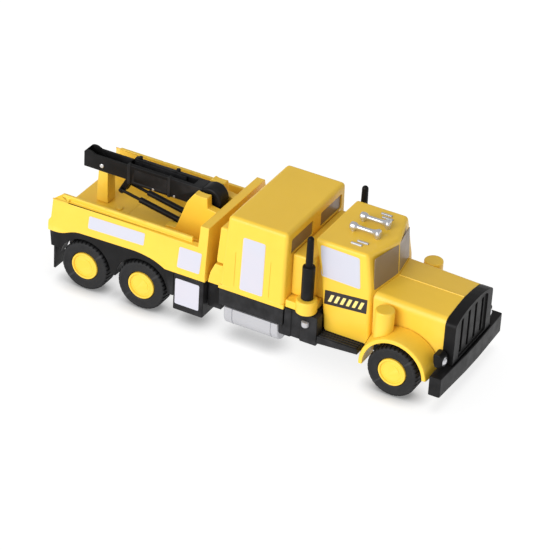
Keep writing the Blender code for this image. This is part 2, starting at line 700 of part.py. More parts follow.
def make_horns(truck):
    """Trumpet horns that lie on the cab's roof with the bell to the front."""
    profile = ((0, 22.2), (1.8, 22.0), (3.2, 21.2), (3.1, 19.4), (1.9, 16.0), (1.5, 5.4), (2.0, 3.8),
               (2.7, 2.4), (2.7, 0.8), (1.6, 0.0), (0, 0.0))
    for side, word in LEFT_AND_RIGHT:
        turned("horn_" + word, profile, SILVER, (180, side * 7.3, CAB_TOP + 3.6), "X", truck, 16)


# Wheels.

def make_wheelset(name, x, truck):
    frame = Frame(name + "_wheelset", (x, 0, TYRE_RADIUS), truck)
    axle = rod((x, -AXLE_HALF, TYRE_RADIUS), (x, AXLE_HALF, TYRE_RADIUS), AXLE_RADIUS, 20, 0.3)
    part(name + "_axle", axle, STEEL, frame.origin, frame, smooth=True)
    width = TYRE_OUTSIDE - TYRE_INSIDE
    shoulder = TYRE_RADIUS - 0.5
    bead = HUB_RADIUS + GAP
    tyre = ((bead, width - 1.0), (bead + 2.0, width), (shoulder - 0.7, width), (shoulder, width - 0.5),
            (TYRE_RADIUS, width - 1.7), (TYRE_RADIUS, 1.7), (shoulder, 0.5), (shoulder - 0.7, 0), (bead, 0))
    depth = HUB_FACE - TYRE_INSIDE - 1
    hub = ((0, depth - 0.4), (6.4, depth - 0.4), (6.9, depth - 1.3), (8.2, depth - 1.3), (8.6, depth),
           (9.7, depth), (HUB_RADIUS, depth - 0.4), (HUB_RADIUS, 0), (HUB_RADIUS - 1.8, 0),
           (HUB_RADIUS - 1.8, depth - 3.4), (4.2, depth - 3.4), (4.2, 0), (AXLE_RADIUS + GAP, 0),
           (AXLE_RADIUS + GAP, depth - 2.4), (0, depth - 2.4))
    for side, word in LEFT_AND_RIGHT:
        for piece, profile, finish, closed in (("tyre", tyre, RUBBER, True), ("hub", hub, YELLOW, False)):
            start = TYRE_INSIDE + (1 if piece == "hub" else 0)
            obj = turned("%s_%s_%s" % (name, piece, word), profile, finish, (x, side * start, TYRE_RADIUS),
                         "Y", frame, WHEEL_SIDES, closed)
            if side < 0:
                obj.rotation_euler = axis_turn("Y").inverted().to_euler()


# Boom and struts.

def make_boom(truck):
    boom = Frame("boom_pivot", PIVOT, truck)
    tube = block(SLEEVE_X, (-SLEEVE_HALF, SLEEVE_HALF), SLEEVE_Z, 0.7, 2)
    sleeve = part("boom_sleeve", tube, BLACK, PIVOT, boom, smooth=True)
    side = Vector((0, SLEEVE_HALF, 0))
    add(sleeve, rod(PIVOT - side, PIVOT + side, DRUM_RADIUS, 32, 1.6), boom)
    boss = Vector((0, TOWER_INSIDE - GAP, 0))
    add(sleeve, rod(PIVOT - boss, PIVOT + boss, 3.6, 20), boom)
    tip = STRUT_HEAD + HEAD_SLOT[1]
    arm = [(11.6, SLEEVE_Z[0] + 1.0), (6.8, SLEEVE_Z[0] + 1.0)] + arc((tip.x, tip.z), 2.1, 156, 336, 8)
    add(sleeve, mirrored(plate(arm, "Y", 1.8, 4.2)), boom)
    for x in (10.6, 42.2):
        band = block((x - 1.2, x + 1.2), (-SLEEVE_HALF - 0.5, SLEEVE_HALF + 0.5),
                     (SLEEVE_Z[0] - 0.3, SLEEVE_Z[1] + 0.5), 0.3, 1)
        add(sleeve, band, boom)
    cavity = block((-3 + SLEEVE_X[0], CAVITY_END), (-CAVITY_HALF, CAVITY_HALF), CAVITY_Z)
    cut(sleeve, cavity, boom)
    cut(sleeve, block((SLEEVE_X[0] - 3, CAVITY_END), (-3.6, 3.6), (80, 86)), boom)
    across = Vector((0, 12, 0))
    cut(sleeve, rod(PIVOT - across, PIVOT + across, PIVOT_BORE, 24), boom)
    cut(sleeve, head_slot(), boom)
    half = Vector((0, 11.2, 0))
    pin = rod(PIVOT - half, PIVOT + half, PIVOT_PIN_RADIUS, 24, 0.3)
    part("boom_pivot_pin", pin, STEEL, PIVOT, truck, True)
    return boom


def head_slot():
    """The slot in the boom's lug in which the struts' head bar rides as the boom lifts."""
    radius = HEAD_BAR_RADIUS + 0.12
    high, low = [STRUT_HEAD + end for end in HEAD_SLOT]
    outline = arc((low.x, low.z), radius, HEAD_SLOT_LEAN + 90, HEAD_SLOT_LEAN + 270, 8)
    outline += arc((high.x, high.z), radius, HEAD_SLOT_LEAN - 90, HEAD_SLOT_LEAN + 90, 8)
    return plate(outline, "Y", -5, 5)


def make_inner_boom(boom):
    slide = Frame("boom_slide", (0, 0, PIVOT.z), boom)
    trough = block(INNER_X, (-INNER_HALF, INNER_HALF), INNER_Z)
    inner = part("boom_extension", trough, BLACK, slide.origin, slide, smooth=True)
    ear = [(-26, 80), (-25.7, 82.4), (-23.0, 83.4), (-20.0, 83.2), (-16.0, 81.0), (-16.0, 80)]
    add(inner, plate(rounded(ear, 1.4, 3), "Y", -INNER_HALF, INNER_HALF), slide)
    groove = INNER_HALF - INNER_WALL
    cut(inner, block((INNER_X[0] + INNER_WALL, 60), (-groove, groove), (INNER_Z[0] + INNER_WALL, 90)), slide)
    across = Vector((0, 8, 0))
    cut(inner, rod(TIP_PIN - across, TIP_PIN + across, TIP_PIN_RADIUS + 0.1, 20), slide)
    half = Vector((0, 5.1, 0))
    pin = rod(TIP_PIN - half, TIP_PIN + half, TIP_PIN_RADIUS, 20, 0.3)
    part("boom_tip_pin", pin, STEEL, TIP_PIN, slide, True)


def along(distance, y):
    """The point at a distance from the strut base towards the strut head."""
    direction = (STRUT_HEAD - STRUT_BASE).normalized()
    return STRUT_BASE + direction * distance + Vector((0, y, 0))


def make_struts(truck):
    base = Frame("strut_base", STRUT_BASE, truck)
    reach = (STRUT_HEAD - STRUT_BASE).length
    hub_half = Vector((0, TOWER_INSIDE - GAP, 0))
    hub = rod(STRUT_BASE - hub_half, STRUT_BASE + hub_half, 2.9, 20)
    barrels = part("strut_barrels", hub, BLACK, STRUT_BASE, base, smooth=True)
    add(barrels, mirrored(rod(along(0, STRUT_Y), along(38, STRUT_Y), BARREL_RADIUS, 16, 0.3)), base)
    cut(barrels, mirrored(rod(along(6, STRUT_Y), along(40, STRUT_Y), BARREL_BORE, 16)), base)
    across = Vector((0, 12, 0))
    cut(barrels, rod(STRUT_BASE - across, STRUT_BASE + across, BASE_PIN_RADIUS + 0.06, 20), base)
    pin = Vector((0, 11.2, 0))
    pin_shape = rod(STRUT_BASE - pin, STRUT_BASE + pin, BASE_PIN_RADIUS, 20, 0.3)
    part("strut_base_pin", pin_shape, STEEL, STRUT_BASE, truck, True)
    slide = Frame("strut_slide", STRUT_HEAD, base)
    bar = Vector((0, STRUT_Y + 1.6, 0))
    rods = part("strut_rods", rod(STRUT_HEAD - bar, STRUT_HEAD + bar, HEAD_BAR_RADIUS, 20, 0.3), BLACK,
                STRUT_HEAD, slide, True)
    add(rods, mirrored(rod(along(8, STRUT_Y), along(reach, STRUT_Y), ROD_RADIUS, 16)), slide)


def main():
    truck = Frame("truck", (0, 0, 0))
    make_chassis(truck)
    make_axle_caps(truck)
    make_screws(truck)
    make_side_boxes(truck)
    make_bed(truck)
    make_tower(truck)
    make_rest_post(truck)
    make_sleeper(truck)
    make_cab(truck)
    make_hood(truck)
    make_fenders(truck)
    make_front_end(truck)
    make_stacks(truck)
    make_horns(truck)
    for name, x in (("rear", 0.0), ("middle", MIDDLE_AXLE), ("front", FRONT_AXLE)):
        make_wheelset(name, x, truck)
    boom = make_boom(truck)
    make_inner_boom(boom)
    make_struts(truck)


clear_scene()
PARTS = new_collection("toy_tow_truck")
CUTTERS = new_collection("cutters")
main()
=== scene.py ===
import math

import bmesh
import bpy
from mathutils import Matrix, Vector
from mathutils.bvhtree import BVHTree


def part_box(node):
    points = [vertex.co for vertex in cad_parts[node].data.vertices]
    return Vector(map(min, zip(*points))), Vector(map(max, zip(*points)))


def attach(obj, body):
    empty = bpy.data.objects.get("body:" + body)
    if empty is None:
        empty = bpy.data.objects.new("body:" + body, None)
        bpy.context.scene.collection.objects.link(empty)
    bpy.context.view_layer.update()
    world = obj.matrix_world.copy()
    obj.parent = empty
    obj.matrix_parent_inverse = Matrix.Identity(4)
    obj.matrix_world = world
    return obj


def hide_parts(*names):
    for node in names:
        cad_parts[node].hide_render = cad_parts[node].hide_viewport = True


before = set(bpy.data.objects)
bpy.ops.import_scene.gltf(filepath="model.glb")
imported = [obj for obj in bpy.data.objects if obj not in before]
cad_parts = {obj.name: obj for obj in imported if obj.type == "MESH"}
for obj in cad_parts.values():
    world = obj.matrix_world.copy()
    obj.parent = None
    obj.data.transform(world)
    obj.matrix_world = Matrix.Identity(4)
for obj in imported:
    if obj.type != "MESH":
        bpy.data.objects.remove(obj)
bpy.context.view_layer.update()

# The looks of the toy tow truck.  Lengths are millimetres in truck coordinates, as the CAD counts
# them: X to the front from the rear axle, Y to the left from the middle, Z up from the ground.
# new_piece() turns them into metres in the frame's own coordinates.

MM = 0.001
MERGE = 0.002
AXLE = [(low + high) / 2 for low, high in zip(*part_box("rear_axle"))]
ORIGIN = Vector((AXLE[0], 0.0, 0.0))
LEFT_AND_RIGHT = ((1, "left"), (-1, "right"))
AXLES = ("rear", "middle", "front")

# Camera: where it stands over the origin of the frame, and how it looks.
CAMERA_PLACE = Vector((0.7476, -1.4733, 1.0802))
CAMERA_AZIMUTH = 26.85
CAMERA_ELEVATION = 32.44
CAMERA_ROLL = 3.47
CAMERA_LENS = 189.7
SENSOR = 36.0


# Measures of the frame.

def limits(node):
    """The limits of a CAD node along X, Y and Z, in truck millimetres."""
    low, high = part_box(node)
    return [((low[i] - ORIGIN[i]) / MM, (high[i] - ORIGIN[i]) / MM) for i in range(3)]


def middle(node):
    return Vector([(low + high) / 2 for low, high in limits(node)])


# Shapes.  Each one returns a bmesh in truck millimetres.

def round_edges(shape, radius, steps, edges=None):
    if radius:
        bmesh.ops.bevel(shape, geom=list(edges or shape.edges), offset=radius, segments=steps,
                        profile=0.5, affect='EDGES', clamp_overlap=True)


def block(x, y, z, edge=0.0, steps=3):
    shape = bmesh.new()
    size = Vector((x[1] - x[0], y[1] - y[0], z[1] - z[0]))
    bmesh.ops.create_cube(shape, size=1.0)
    bmesh.ops.scale(shape, vec=size, verts=shape.verts)
    bmesh.ops.translate(shape, vec=Vector((sum(x), sum(y), sum(z))) / 2, verts=shape.verts)
    round_edges(shape, edge, steps)
    return shape


def rod(start, end, radius, sides, edge=0.0):
    """A cylinder from one point to another, whose rims may be rounded."""
    start = Vector(start)
    end = Vector(end)
    shape = bmesh.new()
    bmesh.ops.create_cone(shape, cap_ends=True, segments=sides, radius1=radius, radius2=radius,
                          depth=(end - start).length)
    if edge:
        rims = [e for e in shape.edges if abs(e.verts[0].co.z - e.verts[1].co.z) < MERGE]
        round_edges(shape, edge, 3, rims)
    turn = Vector((0, 0, 1)).rotation_difference(end - start).to_matrix()
    bmesh.ops.rotate(shape, cent=(0, 0, 0), matrix=turn, verts=shape.verts)
    bmesh.ops.translate(shape, vec=(start + end) / 2, verts=shape.verts)
    return shape


def loft(rings, closed=False):
    """A body through rings of equally many points; a closed one joins its last ring to its first."""
    shape = bmesh.new()
    rows = [[shape.verts.new(point) for point in ring] for ring in rings]
    count = len(rows[0])
    pairs = list(zip(rows, rows[1:]))
    if closed:
        pairs.append((rows[-1], rows[0]))
    for lower, upper in pairs:
        for i in range(count):
            j = (i + 1) % count
            shape.faces.new((lower[i], lower[j], upper[j], upper[i]))
    if not closed:
        shape.faces.new(rows[0])
        shape.faces.new(rows[-1])
    bmesh.ops.remove_doubles(shape, verts=shape.verts, dist=MERGE)
    bmesh.ops.recalc_face_normals(shape, faces=shape.faces)
    return shape


def prism(outline, axis, low, high):
    """A flat outline with thickness: points are (x, z) along Y, (y, z) along X and (x, y) along Z."""
    places = {"X": lambda a, b, level: (level, a, b), "Y": lambda a, b, level: (a, level, b),
              "Z": lambda a, b, level: (a, b, level)}
    return loft([[places[axis](a, b, level) for a, b in outline] for level in (low, high)])


def revolve(profile, start, axis, sides):
    """A closed profile of (radius, height) points turned about an axis that begins at start."""
    turns = {"X": Matrix.Rotation(math.pi / 2, 3, 'Y'), "Y": Matrix.Rotation(-math.pi / 2, 3, 'X'),
             "-Y": Matrix.Rotation(math.pi / 2, 3, 'X'), "Z": Matrix.Identity(3)}
    rings = []
    for k in range(sides):
        angle = 2 * math.pi * k / sides
        rings.append([(r * math.cos(angle), r * math.sin(angle), h) for r, h in profile])
    shape = loft(rings, closed=True)
    bmesh.ops.dissolve_degenerate(shape, dist=MERGE, edges=shape.edges)
    bmesh.ops.rotate(shape, cent=(0, 0, 0), matrix=turns[axis], verts=shape.verts)
    bmesh.ops.translate(shape, vec=Vector(start), verts=shape.verts)
    return shape


def arc(centre, radius, start, end, steps):
    """Points on a circle from one angle to another, both in degrees."""
    points = []
    for i in range(steps + 1):
        angle = math.radians(start + (end - start) * i / steps)
        points.append((centre[0] + radius * math.cos(angle), centre[1] + radius * math.sin(angle)))
    return points


def rounded(outline, radius, steps=5):
    """The outline with each corner replaced by a curve that starts at most radius from it."""
    points = []
    count = len(outline)
    for i in range(count):
        corner = Vector(outline[i])
        before = Vector(outline[i - 1]) - corner
        after = Vector(outline[(i + 1) % count]) - corner
        reach = min(radius, before.length / 2, after.length / 2)
        start = corner + before.normalized() * reach
        end = corner + after.normalized() * reach
        for k in range(steps + 1):
            t = k / steps
            point = start * (1 - t) ** 2 + corner * 2 * t * (1 - t) + end * t ** 2
            points.append((point.x, point.y))
    return points


def together(*shapes):
    """One bmesh that holds several shapes."""
    whole = bmesh.new()
    for shape in shapes:
        part = bpy.data.meshes.new("part")
        shape.to_mesh(part)
        shape.free()
        whole.from_mesh(part)
        bpy.data.meshes.remove(part)
    return whole


def mirrored(shape):
    """The shape and its mirror image on the other side of the truck."""
    other = shape.copy()
    bmesh.ops.scale(other, vec=(1, -1, 1), verts=other.verts)
    bmesh.ops.reverse_faces(other, faces=other.faces)
    return together(shape, other)


def cad_shape(node):
    """A copy of a CAD node's mesh, welded, with its flat faces whole."""
    shape = bmesh.new()
    shape.from_mesh(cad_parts[node].data)
    bmesh.ops.translate(shape, vec=-ORIGIN, verts=shape.verts)
    bmesh.ops.scale(shape, vec=(1 / MM, 1 / MM, 1 / MM), verts=shape.verts)
    bmesh.ops.remove_doubles(shape, verts=shape.verts, dist=MERGE)
    bmesh.ops.dissolve_limit(shape, angle_limit=math.radians(1), verts=shape.verts, edges=shape.edges)
    return shape


# Objects.

def new_piece(name, shape):
    """An object from a bmesh, which is used up."""
    bmesh.ops.scale(shape, vec=(MM, MM, MM), verts=shape.verts)
    bmesh.ops.translate(shape, vec=ORIGIN, verts=shape.verts)
    mesh = bpy.data.meshes.new(name)
    shape.to_mesh(mesh)
    shape.free()
    obj = bpy.data.objects.new(name, mesh)
    bpy.context.scene.collection.objects.link(obj)
    return obj


def settle(obj):
    """Replaces obj's mesh by what its modifiers make of it."""
    made = bpy.data.meshes.new_from_object(obj.evaluated_get(bpy.context.evaluated_depsgraph_get()))
    old = obj.data
    obj.modifiers.clear()
    obj.data = made
    bpy.data.meshes.remove(old)


def combine(obj, shape, operation):
    tool = new_piece(obj.name + "_tool", shape)
    modifier = obj.modifiers.new(operation, 'BOOLEAN')
    modifier.operation = operation
    modifier.object = tool
    settle(obj)
    bpy.data.objects.remove(tool)


def cut(obj, *shapes):
    combine(obj, together(*shapes), 'DIFFERENCE')


def add(obj, *shapes):
    for shape in shapes:
        combine(obj, shape, 'UNION')


def soften(obj, width=0.0, steps=3, angle=60):
    """Rounds the edges that are sharper than the angle, and shades the whole piece smooth."""
    if width:
        shape = bmesh.new()
        shape.from_mesh(obj.data)
        bmesh.ops.dissolve_limit(shape, angle_limit=math.radians(0.6), verts=shape.verts, edges=shape.edges)
        shape.to_mesh(obj.data)
        shape.free()
        edges = obj.modifiers.new("edges", 'BEVEL')
        edges.width = width * MM
        edges.segments = steps
        edges.limit_method = 'ANGLE'
        edges.angle_limit = math.radians(angle)
        edges.use_clamp_overlap = False
        settle(obj)
    obj.data.shade_smooth()
    obj.data.set_sharp_from_angle(angle=math.radians(50))
    normals = obj.modifiers.new("normals", 'WEIGHTED_NORMAL')
    normals.keep_sharp = True
    settle(obj)
    return obj


def dress(obj, finish, body, *nodes):
    """Gives a piece its material, lets it ride on a body and stand for CAD nodes."""
    obj.data.materials.clear()
    obj.data.materials.append(FINISHES[finish])
    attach(obj, body)
    if nodes:
        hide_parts(*nodes)
    return obj


def refined(node, finish, body, width, cuts=()):
    """A piece with the CAD node's own shape, with recesses, rounded edges and a finish."""
    obj = new_piece(node + "_shell", cad_shape(node))
    if cuts:
        cut(obj, *cuts)
    soften(obj, width)
    return dress(obj, finish, body, node)


# Finishes.

def shader_of(name):
    material = bpy.data.materials.new(name)
    material.use_nodes = True
    return material, material.node_tree, material.node_tree.nodes["Principled BSDF"]


def noise(tree, scale, detail=3.0, stretch=(1, 1, 1), distortion=0.0):
    """Noise over the piece's own coordinates; scale is in features per metre."""
    place = tree.nodes.new("ShaderNodeTexCoord")
    mapping = tree.nodes.new("ShaderNodeMapping")
    mapping.inputs["Scale"].default_value = stretch
    texture = tree.nodes.new("ShaderNodeTexNoise")
    texture.inputs["Scale"].default_value = scale
    texture.inputs["Detail"].default_value = detail
    texture.inputs["Distortion"].default_value = distortion
    tree.links.new(place.outputs["Object"], mapping.inputs["Vector"])
    tree.links.new(mapping.outputs["Vector"], texture.inputs["Vector"])
    return texture.outputs["Fac"]


def spread(tree, value, low, high, start=0.3, end=0.7):
    """Maps a noise value to a range of numbers."""
    ramp = tree.nodes.new("ShaderNodeMapRange")
    ramp.inputs["From Min"].default_value = start
    ramp.inputs["From Max"].default_value = end
    ramp.inputs["To Min"].default_value = low
    ramp.inputs["To Max"].default_value = high
    tree.links.new(value, ramp.inputs["Value"])
    return ramp.outputs["Result"]


def blend_colours(tree, factor, first, second):
    """A mix of two colours, each of which is a tuple or a socket."""
    mix = tree.nodes.new("ShaderNodeMix")
    mix.data_type = 'RGBA'
    tree.links.new(factor, mix.inputs["Factor"])
    for socket, colour in ((mix.inputs[6], first), (mix.inputs[7], second)):
        if isinstance(colour, tuple):
            socket.default_value = (*colour, 1.0)
        else:
            tree.links.new(colour, socket)
    return mix.outputs[2]


def shade(colour, factor):
    return tuple(min(1.0, channel * factor) for channel in colour)


def bumps(tree, shader, layers):
    """Stacks bump layers of (height socket, strength, depth in metres) on the shader's normal."""
    last = None
    for height, strength, depth in layers:
        bump = tree.nodes.new("ShaderNodeBump")
        bump.inputs["Strength"].default_value = strength
        bump.inputs["Distance"].default_value = depth
        tree.links.new(height, bump.inputs["Height"])
        if last:
            tree.links.new(last, bump.inputs["Normal"])
        last = bump.outputs["Normal"]
    tree.links.new(last, shader.inputs["Normal"])


def edges_worn_and_lit(tree, low, high, amount):
    """A factor that grows on convex edges, broken up by noise: partly rubbed wear, partly a painted
    highlight.
    """
    geometry = tree.nodes.new("ShaderNodeNewGeometry")
    edge = spread(tree, geometry.outputs["Pointiness"], 0.0, 1.0, low, high)
    patch = spread(tree, noise(tree, 140, 4), 0.2, 1.0)
    product = tree.nodes.new("ShaderNodeMath")
    product.operation = 'MULTIPLY'
    tree.links.new(edge, product.inputs[0])
    tree.links.new(patch, product.inputs[1])
    scaled = tree.nodes.new("ShaderNodeMath")
    scaled.operation = 'MULTIPLY'
    scaled.inputs[1].default_value = amount
    tree.links.new(product.outputs[0], scaled.inputs[0])
    return scaled.outputs[0]


def moulded(name, colour, roughness, grain, wear_and_highlight_colour, shine=0.5):
    """Moulded plastic: faint clouding, orange peel, a fine grain and edges lightened partly as rubbed wear,
    partly as a painted highlight.
    """
    material, tree, shader = shader_of(name)
    cloud = spread(tree, noise(tree, 22, 4, distortion=0.4), 0.0, 1.0)
    base = blend_colours(tree, cloud, shade(colour, 0.955), shade(colour, 1.03))
    # Edges lighten partly as rubbed wear, partly as a painted highlight.
    rubbed_and_highlit = blend_colours(tree, edges_worn_and_lit(tree, 0.515, 0.6, 0.35), base, wear_and_highlight_colour)
    tree.links.new(rubbed_and_highlit, shader.inputs["Base Color"])
    rough = spread(tree, noise(tree, 160, 5), roughness - 0.05, roughness + 0.06)
    tree.links.new(rough, shader.inputs["Roughness"])
    shader.inputs["IOR"].default_value = 1.47
    shader.inputs["Specular IOR Level"].default_value = shine
    layers = [(noise(tree, 420, 3), 0.10, 0.00022), (noise(tree, 5200, 2), grain, 0.00004)]
    bumps(tree, shader, layers)
    return material


def soft_rubber(name, colour):
    material, tree, shader = shader_of(name)
    dust = spread(tree, noise(tree, 90, 6, distortion=0.6), 0.0, 1.0, 0.42, 0.78)
    base = blend_colours(tree, dust, colour, shade(colour, 1.55))
    # Lighter tyre edges: partly rubbed wear, partly a painted highlight.
    rubbed_and_highlit = blend_colours(tree, edges_worn_and_lit(tree, 0.52, 0.62, 0.5), base, (0.06, 0.06, 0.064))
    tree.links.new(rubbed_and_highlit, shader.inputs["Base Color"])
    tree.links.new(spread(tree, noise(tree, 240, 4), 0.5, 0.66), shader.inputs["Roughness"])
    shader.inputs["Specular IOR Level"].default_value = 0.3
    bumps(tree, shader, [(noise(tree, 900, 4), 0.22, 0.0002), (noise(tree, 6000, 2), 0.25, 0.00005)])
    return material


def silver_paint(name, colour, roughness, metallic):
    """Painted or plated silver with fine flakes and faint brushing along X."""
    material, tree, shader = shader_of(name)
    cloud = spread(tree, noise(tree, 35, 5), 0.0, 1.0)
    flakes = spread(tree, noise(tree, 9000, 2), 0.0, 1.0, 0.4, 0.75)
    base = blend_colours(tree, cloud, shade(colour, 0.9), colour)
    glitter = blend_colours(tree, flakes, base, shade(colour, 1.12))
    tree.links.new(glitter, shader.inputs["Base Color"])
    shader.inputs["Metallic"].default_value = metallic
    brushed = noise(tree, 900, 3, stretch=(0.12, 1, 1))
    tree.links.new(spread(tree, brushed, roughness - 0.07, roughness + 0.09), shader.inputs["Roughness"])
    bumps(tree, shader, [(brushed, 0.08, 0.0001), (noise(tree, 300, 2), 0.12, 0.0002)])
    return material


def printed(name, top, bottom, roughness, fade, coat):
    """A printed sticker whose colour drifts softly between two shades, under a clear film."""
    material, tree, shader = shader_of(name)
    drift = spread(tree, noise(tree, fade, 2, distortion=0.3), 0.0, 1.0, 0.35, 0.65)
    base = blend_colours(tree, drift, top, bottom)
    speck = spread(tree, noise(tree, 3200, 3), 0.0, 0.2, 0.55, 0.8)
    inked = blend_colours(tree, speck, base, shade(bottom, 0.86))
    tree.links.new(inked, shader.inputs["Base Color"])
    tree.links.new(spread(tree, noise(tree, 120, 4), roughness - 0.06, roughness + 0.08),
                   shader.inputs["Roughness"])
    shader.inputs["Coat Weight"].default_value = coat
    shader.inputs["Coat Roughness"].default_value = 0.12
    bumps(tree, shader, [(noise(tree, 260, 3), 0.12, 0.0002), (noise(tree, 4200, 2), 0.12, 0.00004)])
    return material


YELLOW = (0.93, 0.588, 0.048)
BLACK = (0.0075, 0.0073, 0.0075)
FINISHES = {
    # The last colour of each moulded finish lightens its edges: partly rubbed wear, partly a painted
    # highlight.
    "yellow": moulded("yellow_plastic", YELLOW, 0.36, 0.16, (1.0, 0.76, 0.16)),
    "black": moulded("black_plastic", BLACK, 0.40, 0.30, (0.07, 0.07, 0.075), 0.13),
    "tyre": soft_rubber("tyre_rubber", (0.009, 0.009, 0.0098)),
    "silver": silver_paint("silver_paint", (0.50, 0.50, 0.525), 0.36, 0.45),
    "chrome": silver_paint("bright_silver", (0.66, 0.66, 0.68), 0.26, 0.8),
    "steel": silver_paint("steel", (0.74, 0.74, 0.75), 0.3, 1.0),
    "sticker": printed("sticker_paper", (0.575, 0.585, 0.665), (0.60, 0.58, 0.65), 0.42, 30, 0.1),
    # The pane finish is the pale window sticker darkened with painted shade.
    "pane": printed("window_sticker_painted_shade", (0.27, 0.195, 0.125), (0.20, 0.135, 0.08), 0.36, 26, 0.1),
    "label": printed("label_print", (0.012, 0.009, 0.010), (0.02, 0.014, 0.016), 0.42, 60, 0.05),
    "mark": printed("label_yellow", (0.95, 0.74, 0.2), (0.97, 0.80, 0.32), 0.4, 60, 0.2),
}


# Printed films and flat panels.

FAR_OFF = 400.0


def looker(obj):
    """A function that finds where a ray from one side meets the object, in truck millimetres."""
    tree = BVHTree.FromObject(obj, bpy.context.evaluated_depsgraph_get())

    def look(side, x, z):
        start = Vector((x, side * FAR_OFF, z)) * MM + ORIGIN
        place, normal, _, _ = tree.ray_cast(start, Vector((0, -side, 0)))
        return (place - ORIGIN) / MM, normal

    return look


def film(name, target, outline, side, finish, body, thickness, radius):
    """A thin film with rounded corners that follows the target's side under an (x, z) outline."""
    look = looker(target)
    border = [Vector(point) for point in rounded(outline, radius)]
    centre = sum(border, Vector((0, 0))) / len(border)
    reach = max((point - centre).length for point in border)
    rings = []
    for share, height in ((1.0, -0.3), (1.0, 0.6), (1 - 0.12 / reach, 1.0), (0.85, 1.0), (0.6, 1.0),
                          (0.35, 1.0), (0.1, 1.0)):
        ring = []
        for point in border:
            place, normal = look(side, *(centre + (point - centre) * share))
            ring.append(place + normal * height * thickness)
        rings.append(ring)
    return dress(soften(new_piece(name, loft(rings))), finish, body)


def slab(corners, outward, radius, low, high):
    """A plate over flat corners in space, from low to high along the normal that points outward."""
    points = [Vector(corner) for corner in corners]
    along = (points[1] - points[0]).normalized()
    normal = along.cross(points[2] - points[0]).normalized()
    if normal.dot(Vector(outward)) < 0:
        normal = -normal
    up = normal.cross(along)
    flat = [((point - points[0]).dot(along), (point - points[0]).dot(up)) for point in points]
    border = [points[0] + along * a + up * b for a, b in rounded(flat, radius)]
    return loft([[point + normal * height for point in border] for height in (low, high)])


def pane(obj, name, corners, outward, body, radius, depth):
    """Sinks a flat window into a piece, and returns the pane that lies on its bottom, a sticker darkened
    with painted shade.
    """
    cut(obj, slab(corners, outward, radius, -depth, 3.0))
    inner = shrunk(corners, 0.06)
    return name, slab(inner, outward, radius, -depth - 0.3, -depth + 0.16), body


def shrunk(corners, margin):
    """The corners moved a little towards their middle."""
    centre = sum((Vector(corner) for corner in corners), Vector()) / len(corners)
    return [Vector(corner) + (centre - Vector(corner)).normalized() * margin for corner in corners]


def lay_panes(panes):
    for name, shape, body in panes:
        dress(soften(new_piece(name, shape), 0.05, 2), "pane", body)


# Chassis and what hangs on it.

def make_chassis():
    refined("chassis", "black", "truck", 0.35)
    refined("bogie_cap", "black", "truck", 0.3)
    refined("front_axle_cap", "black", "truck", 0.3)
    for side, word in LEFT_AND_RIGHT:
        toolbox = refined("toolbox_" + word, "black", "truck", 0.25)
        film("toolbox_sheet_" + word, toolbox, [(71.5, 14.2), (90, 14.2), (90, 34.2), (71.5, 34.2)],
             side, "sticker", "truck", 0.25, 1.3)
        refined("mudflap_" + word, "black", "truck", 0.25)
        make_tank(word)
        make_running_board(word)
        make_side_cap(side, word)


def make_side_cap(side, word):
    """A small half cup on the side of the base, flat on top and round below."""
    rings = []
    profile = ((28.9, 1.3), (29.1, 1.9), (29.7, 2.5), (30.4, 2.75), (32.9, 2.75), (33.1, 2.6), (33.3, 2.2))
    for z, radius in profile:
        half = arc((0, 0), radius, 0, 180, 20)
        rings.append([(169.3 + a, side * (42.5 + b), z) for a, b in half])
    cup = soften(new_piece("side_cup_" + word, loft(rings)))
    dress(cup, "silver", "truck", "side_cap_" + word)


def make_tank(word):
    """A fuel tank, round below, with two strap grooves."""
    (start, end), y, z = limits("fuel_tank_" + word)
    radius = (y[1] - y[0]) / 2
    middle_y = sum(y) / 2

    def section(inset):
        points = [(middle_y - radius + inset, z[1] - inset), (middle_y + radius - inset, z[1] - inset)]
        return points + arc((middle_y, z[0] + radius), radius - inset, 0, -180, 30)

    rear = [(start, 1.0), (start + 0.3, 0.45), (start + 1.0, 0.0)]
    front = [(start + end - x, inset) for x, inset in reversed(rear)]
    grooves = []
    for x in (114.9, 144.2):
        grooves += [(x - 0.55, 0.0), (x - 0.35, 0.45), (x + 0.35, 0.45), (x + 0.55, 0.0)]
    rings = [[(x, y, z) for y, z in section(inset)] for x, inset in rear + grooves + front]
    tank = soften(new_piece("tank_" + word, loft(rings)))
    dress(tank, "silver", "truck", "fuel_tank_" + word)


def make_running_board(word):
    """A step whose underside rises towards the front, with three ribs on top."""
    x, y, z = limits("running_board_" + word)
    tread = z[1] - 0.7
    rings = []
    for place, low in ((x[0], z[0] + 0.8), (x[1], z[0] + 2.8)):
        rings.append([(place, y[0], low), (place, y[1], low), (place, y[1], tread), (place, y[0], tread)])
    board = soften(new_piece("step_" + word, loft(rings)), 0.4)
    for share in (0.2, 0.5, 0.8):
        across = y[0] + (y[1] - y[0]) * share
        add(board, block((x[0] + 1.2, x[1] - 1.2), (across - 0.8, across + 0.8), (z[1] - 1.5, z[1]), 0.25))
    soften(board, 0.15, 2)
    dress(board, "black", "truck", "running_board_" + word)


# Bed.

REAR_END = -29.5
BED_REAR = -27.8
BED_LOW = 38.0
BED_FLOOR = 46.0
BED_INSIDE = 36.0
BED_HALF = 45.0
WALL_TOP = 61.5
RAIL_TOP = 65.1
BED_EDGE = ((REAR_END, BED_LOW), (-19.0, BED_LOW), (-8.0, 43.2), (42.0, 44.2), (54.0, 42.4), (63.0, BED_LOW))


